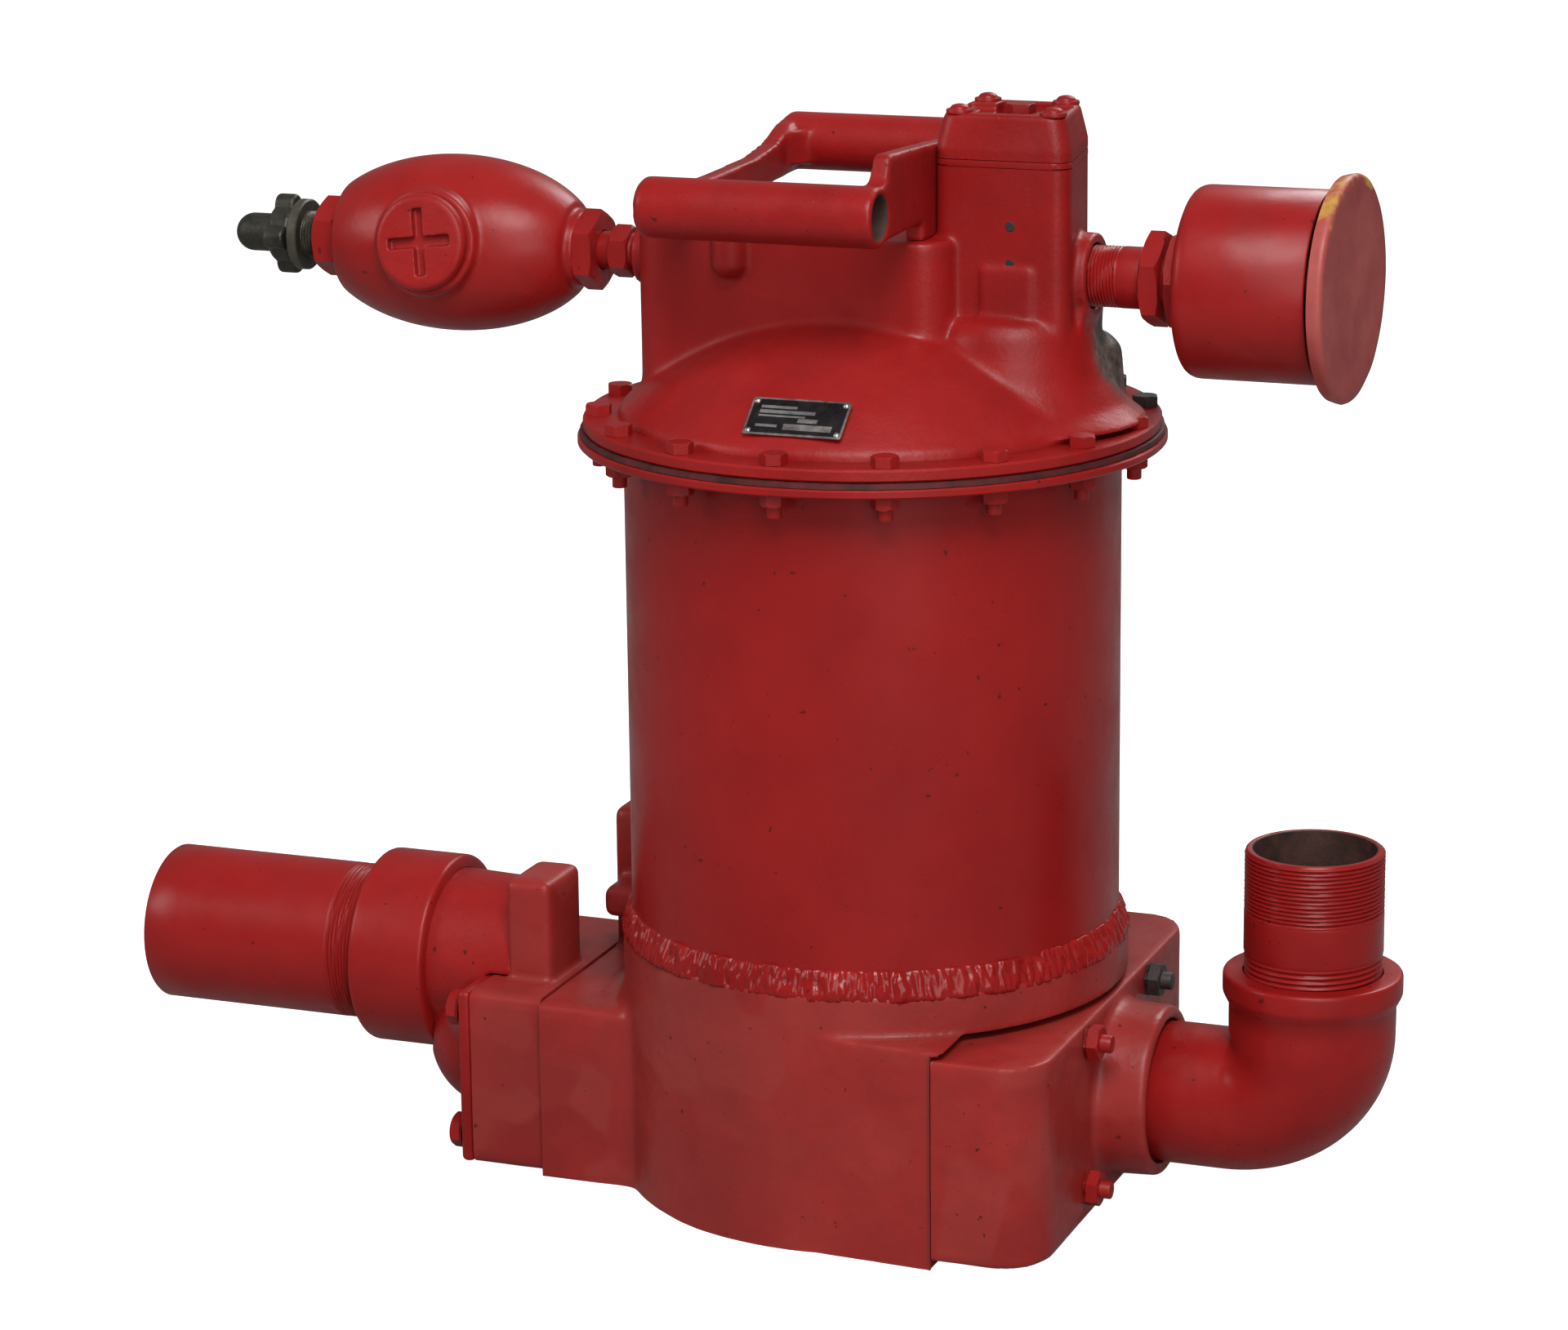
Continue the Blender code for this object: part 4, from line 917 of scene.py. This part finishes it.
def make_suction():
    axis = (0, 0, 0.1)
    low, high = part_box("suction_sleeve")
    outer, inner = 0.0455, 0.0405
    thread_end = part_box("suction_collar")[0].x
    thread_start = thread_end - 0.0205
    bm = bmesh.new()
    edge = 0.0012
    profile = [(inner, high.x), (outer, high.x)]
    profile += [(outer, x) for x in heights(thread_end + 0.002, thread_start)]
    profile += [(outer, x) for x in heights(thread_start - 0.001, low.x + edge, 0.02)]
    profile += [(outer - edge * 0.6, low.x + edge * 0.2), (outer - edge, low.x), (inner, low.x)]
    spun(bm, profile, 128, "X", axis, True,
         thread_radius(outer, 0.0022, 0.0013, thread_start, thread_end + 0.004))
    piece = as_piece("sleeve", bm, TUBE, ["suction_sleeve"], angle=40)
    # The sleeve's bore gets the dark rust finish: partly bare iron, partly painted shade.
    darken_bore(piece, axis, "X", inner + 0.0004)

    low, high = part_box("suction_collar")
    bm = bmesh.new()
    ring = rounded([(outer + 0.0003, high.x), (0.0565, high.x), (0.0565, low.x), (outer + 0.0003, low.x)],
                   0.0035, 5)
    spigot = -0.2707
    ring = [(0.0493, spigot), (0.0493, high.x)] + ring[1:] + [(outer + 0.0003, spigot)]
    spun(bm, ring, 128, "X", axis, True)
    as_piece("collar", bm, SMOOTH, ["suction_collar"], angle=40)

    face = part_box("suction_seat")[0].x - 0.0003
    plate = boxed(bmesh.new(), (face - 0.0079, -0.078, 0.001), (face - HAIR, 0.078, 0.103), 0.003, 3)
    as_piece("suction_plate", plate, CAST)
    adds = bmesh.new()
    bulb = bmesh.new()
    bmesh.ops.create_uvsphere(bulb, u_segments=64, v_segments=32, radius=1.0)
    bmesh.ops.transform(bulb, verts=bulb.verts, matrix=Matrix.Translation((-0.2265, 0, 0.058))
                        @ Matrix.Diagonal((0.044, 0.06, 0.047, 1)))
    mesh = model_mesh(bulb, "bulb")
    adds.from_mesh(mesh)
    neck = [(0, -0.2045), (0.0475, -0.2045), (0.048, -0.23), (0.049, -0.256), (0.049, -0.2703),
            (0, -0.2703)]
    spun(adds, neck, 96, "X", axis)
    cuts = bmesh.new()
    spun(cuts, [(0.0496, high.x + 0.0004), (0.059, high.x + 0.0004), (0.059, -0.32), (0.0496, -0.32)],
         96, "X", axis, True)
    boxed(cuts, (face - 0.003, -0.1, -0.1), (-0.1, 0.1, 0.1046))
    rod(cuts, 0.036, -0.222, -0.29, 48, "X", axis)
    rod(cuts, 0.033, 0.1, 0.05, 48, centre=(-0.236, 0, 0))
    rod(cuts, 0.033, -0.19, -0.24, 48, "X", (0, 0, 0.056))
    mesh = casting("suction_body", adds, cuts, 0.0013, 10,
                   lambda p: 0.25 + 0.75 * fade(-p[:, 0], 0.222, 0.23))
    dress("suction_body", mesh, CAST, ["suction_cover"], angle=40)

    low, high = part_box("suction_seat")
    adds = bmesh.new()
    boxed(adds, (low.x - 0.006, -0.079, 0.001), (high.x + 0.006, 0.079, 0.104), 0.005, 4)
    boxed(adds, (-0.2065, -0.0495, 0.09), (-0.1785, -0.0025, 0.1625), 0.005, 3)
    cuts = bmesh.new()
    rod(cuts, 0.033, -0.15, -0.24, 48, "X", (0, 0, 0.056))
    mesh = casting("seat_body", adds, cuts, 0.0013, 6, lambda p: 0.3 + 0.7 * fade(p[:, 2], 0.098, 0.104),
                   [((high.x - HAIR, 0, 0), (1, 0, 0)), ((low.x + HAIR, 0, 0), (-1, 0, 0))])
    roughened(mesh, 0.0004)
    dress("seat_body", mesh, BASE_PAINT, ["suction_seat"], angle=40)

    for index in range(4):
        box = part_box(f"suction_bolt_{index + 1}")
        place = ((0, (box[0].y + box[1].y) / 2, (box[0].z + box[1].z) / 2))
        x = box[0].x
        bm = bolt_model((-x - 0.0074, -x, True), (-x - 0.0074, -x - 0.006, False), 0.0102,
                        (0.005, -x - 0.07, -x - 0.008))
        stamped(f"seat_bolt_{index + 1}", model_mesh(bm, "end"), place, 0.3 + index, BOLT,
                [f"suction_bolt_{index + 1}"], "-X")


# ---------------------------------------------------------------- discharge side
DISCHARGE_Z, ELBOW_X, BEND = 0.064, 0.253, 0.045


def make_discharge():
    low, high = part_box("discharge_cover")
    face = 0.143
    adds = bmesh.new()
    outline = arc_outline([(low.x - 0.006, -0.145), (face, -0.145), (face, 0.145), (low.x - 0.006, 0.145)],
                          [0.0005, 0.028, 0.028, 0.0005], 12)
    prism(adds, outline, 0.005, 0.1185, 0.004, 3)
    spun(adds, [(0, 0.172), (0.0455, 0.172), (0.0475, 0.17), (0.0485, 0.15), (0.051, 0.13), (0, 0.13)],
         96, "X", (0, 0, DISCHARGE_Z))
    cuts = bmesh.new()
    boxed(cuts, (low.x - 0.02, -0.048, 0.016), (0.134, 0.048, 0.1115), 0.004)
    rod(cuts, 0.035, 0.18, 0.12, 64, "X", (0, 0, DISCHARGE_Z))
    rod(cuts, 0.04, 0.19, 0.1515, 64, "X", (0, 0, DISCHARGE_Z))
    mesh = casting("discharge_body", adds, cuts, 0.0015, 10,
                   lambda p: 0.3 + 0.7 * fade(p[:, 0], 0.134, 0.142) * (1 - fade(p[:, 0], 0.158, 0.166)),
                   [((low.x + 0.0002, 0, 0), (-1, 0, 0))])
    roughened(mesh, 0.0004)
    dress("discharge_body", mesh, BASE_PAINT, ["discharge_cover"], angle=40)

    for index in range(4):
        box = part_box(f"discharge_bolt_{index + 1}")
        place = (0, (box[0].y + box[1].y) / 2, (box[0].z + box[1].z) / 2)
        bm = bolt_model((0.1433, 0.1513, True), (0.1433, 0.145, False), 0.0102,
                        (0.005, 0.073, 0.1573))
        dark = place[1] > 0 and place[2] > 0.06
        stamped(f"cover_nut_{index + 1}", model_mesh(bm, "nut"), place, 0.5 + 0.8 * index,
                DARK if dark else BOLT, [f"discharge_bolt_{index + 1}"], "X")

    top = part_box("discharge_elbow")[1].z
    centre = Vector((ELBOW_X - BEND, 0, DISCHARGE_Z + BEND))
    arc = [centre + BEND * Vector((math.cos(a), 0, math.sin(a)))
           for a in (-math.pi / 2 + k / 28 * math.pi / 2 for k in range(29))]
    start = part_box("discharge_elbow")[0].x + 0.0002
    path = [Vector((start, 0, DISCHARGE_Z)), Vector((0.1735, 0, DISCHARGE_Z)),
            Vector((0.174, 0, DISCHARGE_Z)), Vector((0.19, 0, DISCHARGE_Z))] + arc
    grow = [0.0392 + 0.0062 * float(fade(k / 28, 0.05, 0.95)) for k in range(29)]
    radii = [0.0388, 0.0388, 0.0392, 0.0392] + grow
    path += [Vector((ELBOW_X, 0, z)) for z in (0.115, 0.1255)]
    radii += [0.0455, 0.0455]
    bead = rounded([(0.0455, 0.1245), (0.0475, 0.1285), (0.049, 0.1315), (0.049, top), (0.04, top)],
                   0.0025, 4)
    for r, z in bead[1:-1]:
        path.append(Vector((ELBOW_X, 0, z)))
        radii.append(r)
    inner = [(0.0383, top)] + [(0.0383, 0.1178), (0.0325, 0.1178)]
    for r, z in inner:
        path.append(Vector((ELBOW_X, 0, z + (0.00001 if r != 0.0383 else 0))))
        radii.append(r)
    way = [Vector((ELBOW_X, 0, 0.109))] + arc[::-1] + [Vector((start, 0, DISCHARGE_Z))]
    path += way
    radii += [0.0325] * len(way)
    bm = bmesh.new()
    elbow_skin(bm, path, radii)
    as_piece("elbow", bm, SMOOTH, ["discharge_elbow"], angle=45)

    low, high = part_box("discharge_nipple")
    outer, inner = 0.038, 0.0335
    bm = bmesh.new()
    thread_a, thread_b = 0.1765, 0.1545
    edge = 0.0008
    profile = [(inner, high.z - 0.0004), (inner + 0.0006, high.z), (outer - 0.0015, high.z),
               (outer, high.z - 0.001)]
    profile += [(outer, z) for z in heights(high.z - 0.0012, thread_a)]
    profile += [(outer, thread_a - edge), (outer, thread_b + edge)]
    profile += [(outer - 0.0003, z) for z in heights(thread_b, low.z + 0.012)]
    profile += [(outer - 0.001, low.z), (inner, low.z)]

    both = threads(thread_a - 0.001, thread_radius(outer, 0.0023, 0.0012, thread_a, high.z + 0.002),
                   thread_radius(outer - 0.0003, 0.0031, 0.0014, low.z, thread_b))
    spun(bm, profile, 128, centre=(ELBOW_X, 0, 0), closed=True, shape=both)
    piece = as_piece("nipple", bm, TUBE, ["discharge_nipple"], angle=40)
    # The nipple's bore gets the dark rust finish: partly bare iron, partly painted shade.
    darken_bore(piece, (ELBOW_X, 0, 0), "Z", inner + 0.0004)


def darken_bore(piece, centre, axis, radius):
    """Gives the faces inside a radius a dark rusty finish: partly bare rusted iron, partly painted shade of
    the bore's inside.
    """
    piece.data.materials.append(RUST_AND_BORE_SHADE)
    for face in piece.data.polygons:
        off = face.center - Vector(centre)
        off["XYZ".index(axis)] = 0
        if off.length < radius:
            face.material_index = 1


def elbow_skin(bm, path, radii, steps=96):
    """A closed skin round a bent pipe: out along its outside and back down its bore."""
    rows = []
    for place, radius in zip(path, radii):
        if place.x < ELBOW_X - BEND + 0.00001:
            up = Vector((0, 0, 1))
        elif place.z > DISCHARGE_Z + BEND - 0.00001:
            up = Vector((-1, 0, 0))
        else:
            up = (Vector((ELBOW_X - BEND, 0, DISCHARGE_Z + BEND)) - place).normalized()
        side = Vector((0, 1, 0))
        rows.append([bm.verts.new(place + radius * (side * math.cos(a) + up * math.sin(a)))
                     for a in (math.tau * s / steps for s in range(steps))])
    for first, second in zip(rows, rows[1:] + rows[:1]):
        for step in range(steps):
            after = (step + 1) % steps
            bm.faces.new((first[step], first[after], second[after], second[step]))


# ---------------------------------------------------------------- air side
LUB_X, LUB_LENGTH, LUB_R, LUB_WALL = -0.246, 0.084, 0.0494, 0.007
PLUG_TILT = math.radians(9)


def plug_matrix():
    return Matrix.Translation((LUB_X + 0.002, 0, AIR_Z)) @ Matrix.Rotation(math.pi / 2 - PLUG_TILT, 4, "X")


def egg_radius(x):
    return LUB_R * math.sqrt(1 - ((x - LUB_X) / LUB_LENGTH) ** 2)


def make_lubricator():
    left, right = -0.311, -0.174
    places = [right + (left - right) * k / 40 for k in range(41)]
    adds = bmesh.new()
    shell = [(egg_radius(x), x) for x in places]
    spun(adds, [(0, right)] + shell + [(0, left)], 96, "X", AIR_AXIS)
    seat = bmesh.new()
    spun(seat, [(0, 0.0503), (0.029, 0.0503), (0.03, 0.0493), (0.0325, 0.02), (0, 0.02)], 64)
    bmesh.ops.transform(seat, verts=seat.verts, matrix=plug_matrix())
    adds.from_mesh(model_mesh(seat, "seat"))
    spun(adds, [(0, -0.168), (0.021, -0.168), (0.0225, -0.182), (0, -0.182)], 64, "X", AIR_AXIS)
    spun(adds, [(0, -0.3), (0.024, -0.3), (0.0205, -0.316), (0, -0.316)], 64, "X", AIR_AXIS)
    cuts = bmesh.new()
    room = [(egg_radius(x) - LUB_WALL, x) for x in places[4:-4]]
    spun(cuts, [(0, places[3])] + room + [(0, places[-4])], 48, "X", AIR_AXIS)
    rod(cuts, 0.0113, -0.12, -0.34, 32, "X", AIR_AXIS)
    hole = bmesh.new()
    rod(hole, 0.0195, 0.07, 0.02, 48)
    bmesh.ops.transform(hole, verts=hole.verts, matrix=plug_matrix())
    cuts.from_mesh(model_mesh(hole, "hole"))
    mesh = casting("oiler_body", adds, cuts, 0.0011, 9)
    dress("oiler_body", mesh, OILER, ["lubricator_body"], angle=50)
    for name, low, high, radius, bore in (("oiler_hex_right", -0.169, -0.1575, 0.0228, 0.0112),
                                          ("oiler_hex_left", -0.328, -0.3145, 0.0229, 0.0114)):
        as_piece(name, hex_ring(low, high, radius, bore), BOLT)
    bm = bmesh.new()
    spun(bm, [(0, -0.1234), (0.01, -0.1234), (0.0105, -0.124)]
         + [(0.0105, x) for x in heights(-0.1245, -0.1385)]
         + [(0.0105, -0.1395), (0.0105, -0.168), (0.01, -0.1725), (0, -0.1725)], 64, "X", AIR_AXIS,
         shape=thread_radius(0.0105, 0.0018, 0.0009, -0.139, -0.1238))
    bm.from_mesh(model_mesh(hex_ring(-0.1503, -0.1393, 0.0149, 0.0102), "nut"))
    as_piece("air_nipple", bm, BOLT, ["lubricator_nipple"])

    adds = bmesh.new()
    spun(adds, [(0, 0.0583), (0.0235, 0.0581), (0.0256, 0.0573), (0.0268, 0.0553), (0.0268, 0.0512),
                (0.0262, 0.0508), (0.0186, 0.0508), (0.0186, 0.0442), (0, 0.0442)], 96)
    cuts = bmesh.new()
    for size in ((0.0185, 0.003), (0.003, 0.0185)):
        boxed(cuts, (-size[0], -size[1], 0.054), (size[0], size[1], 0.064), 0.0008, 2)
    bmesh.ops.rotate(cuts, verts=cuts.verts, matrix=Matrix.Rotation(0.12, 3, "Z"))
    mesh = casting("plug", adds, cuts, 0.0006, 3)
    mesh.transform(plug_matrix())
    dress("plug", mesh, CAST, ["filler_plug"], "filler_plug", 50)

    bm = bmesh.new()
    tip = 0.0108
    nose = [(tip * math.sin(a), 0.3737 + 0.0105 * math.cos(a))
            for a in (math.pi / 2 * k / 10 for k in range(1, 11))]
    profile = [(0.002, 0.3835)] + nose + [(tip, 0.36), (tip, 0.3447), (0.0192, 0.3447), (0.02, 0.3439),
                                           (0.02, 0.3393), (0.0192, 0.3386), (0.0134, 0.3386)]
    profile += [(0.0134, x) for x in heights(0.3384, 0.3286)]
    profile += [(tip, 0.3283), (tip, 0.3147), (0.002, 0.3147)]
    spun(bm, profile, 96, closed=True,
         shape=thread_radius(0.0134, 0.0018, 0.001, 0.3282, 0.3388))
    bmesh.ops.transform(bm, verts=bm.verts, matrix=Matrix.Translation(AIR_AXIS)
                        @ Matrix.Rotation(-math.pi / 2, 4, "Y"))
    as_piece("spud", bm, OLIVE, ["hose_spud"])

    low, high = span("wing_nut")
    adds = bmesh.new()
    spun(adds, [(0, high - 0.0002), (0.016, high - 0.0002), (0.0172, high - 0.002), (0.0172, low + 0.003),
                (0.015, low + 0.0002), (0, low + 0.0002)], 64, "X", AIR_AXIS)
    for index in range(4):
        angle = index * math.pi / 2
        lobe = (0, 0.0163 * math.cos(angle), AIR_Z + 0.0163 * math.sin(angle))
        spun(adds, rounded([(0, high - 0.001), (0.0064, high - 0.001), (0.0064, low + 0.001),
                            (0, low + 0.001)], 0.002, 3), 32, "X", lobe)
    cuts = bmesh.new()
    rod(cuts, 0.0116, -0.33, -0.38, 48, "X", AIR_AXIS)
    mesh = casting("wing", adds, cuts, 0.0006, 5)
    dress("wing", mesh, OLIVE, ["wing_nut"], "wing_nut", 50)


def hex_ring(low, high, radius, bore, turn=0.0):
    """A chamfered hex on the air line's AIR_AXIS with a bore through it."""
    trim = [(0, -low), (radius * HEX_FACE, -low), (radius * HEX_TIP, -low - 0.0016),
            (radius * HEX_TIP, -high + 0.0016), (radius * HEX_FACE, -high), (0, -high)]
    blank = bmesh.new()
    blank.from_mesh(combined(prism(bmesh.new(), hexagon(radius), -high, -low),
                             spun(bmesh.new(), trim, 48), "INTERSECT"))
    drill = rod(bmesh.new(), bore, -low + 0.01, -high - 0.01, 48)
    bm = bmesh.new()
    bm.from_mesh(combined(blank, drill, "DIFFERENCE"))
    bmesh.ops.transform(bm, verts=bm.verts, matrix=Matrix.Translation(AIR_AXIS)
                        @ Matrix.Rotation(turn, 4, "X") @ Matrix.Rotation(-math.pi / 2, 4, "Y"))
    return bm


# ---------------------------------------------------------------- exhaust side
def make_silencer():
    low, high = span("exhaust_nipple")
    outer, bore = 0.0166, 0.0125
    bm = bmesh.new()
    profile = [(bore, high), (outer - 0.0008, high)]
    profile += [(outer, x) for x in heights(high - 0.0008, 0.1545)]
    profile += [(outer, x) for x in (0.1535, 0.144)]
    profile += [(outer, x) for x in heights(0.143, low + 0.0008)]
    profile += [(outer - 0.0008, low), (bore, low)]

    both = threads(0.149, thread_radius(outer, 0.0018, 0.001, 0.154, high + 0.002),
                   thread_radius(outer, 0.0018, 0.001, low - 0.002, 0.1435))
    spun(bm, profile, 96, "X", AIR_AXIS, True, both)
    as_piece("exhaust_pipe", bm, BOLT, ["exhaust_nipple"], angle=40)
    low, high = span("exhaust_locknut")
    as_piece("lock_ring", hex_ring(low, high, 0.0266, 0.0169, 0.12), BOLT, ["exhaust_locknut"])

    can_low, can_high = span("silencer_can")
    shoulder = 0.1815
    bm = bmesh.new()
    skin = rounded([(0.017, shoulder + 0.0008), (0.0514, shoulder), (0.0514, can_high - 0.0008)], 0.0085, 8)
    profile = skin + [(0.0508, can_high), (0.049, can_high), (0.0484, can_high - 0.0006),
                      (0.0484, 0.19), (0.0462, 0.187), (0.017, 0.187)]
    spun(bm, profile, 160, "X", AIR_AXIS, True)
    as_piece("can", bm, SMOOTH, ["silencer_can"], angle=40)
    as_piece("can_hex", hex_ring(can_low, shoulder + 0.001, 0.0277, 0.0169, 0.45), BOLT)
    bm = bmesh.new()
    for turn in (0.3, 0.3 + math.pi / 2):
        boxed(bm, (0.233, -0.0484, -0.006), (0.239, 0.0484, 0.006), 0.001, 2,
              Matrix.Translation(AIR_AXIS) @ Matrix.Rotation(turn, 4, "X"))
    as_piece("can_bridge", bm, BOLT)

    low, high = 0.26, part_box("silencer_lid")[1].x
    bm = bmesh.new()
    disc = [(0, high - 0.0008), (0.04, high - 0.0009), (0.054, high - 0.0006), (0.058, high - 0.0002),
            (0.0597, high - 0.001), (0.0604, high - 0.0028), (0.06, high - 0.005), (0.059, low + 0.0005),
            (0.056, low), (0, low)]

    def hammered(angle, r, h, _index):
        lump = noise.noise(Vector((math.cos(angle) * 3, math.sin(angle) * 3, r * 60)))
        return (r + 0.0005 * lump if r > 0.05 else r), h

    spun(bm, disc, 192, "X", (0, 0, 0), shape=hammered)
    rod(bm, 0.004, low + 0.001, 0.225, 24, "X", (0, 0, 0))
    pivot = Matrix.Translation((0.264, 0, AIR_Z)) @ Matrix.Rotation(math.radians(-2.4), 4, "Z")
    bmesh.ops.transform(bm, verts=bm.verts, matrix=pivot @ Matrix.Translation((-0.264, 0, 0)))
    as_piece("lid", bm, LID, ["silencer_lid"], angle=50)


# ---------------------------------------------------------------- put together
for make in (make_camera, make_stage, make_tank, make_cover, make_valve_cover, make_handle, make_nameplate,
             make_base, make_suction, make_discharge, make_lubricator, make_silencer):
    make()
for node_name, finish in (("pilot_rod", STEEL), ("float", STEEL), ("suction_flap", BLACK),
                          ("discharge_flap", BLACK)):
    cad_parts[node_name].data.materials.clear()
    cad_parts[node_name].data.materials.append(finish)
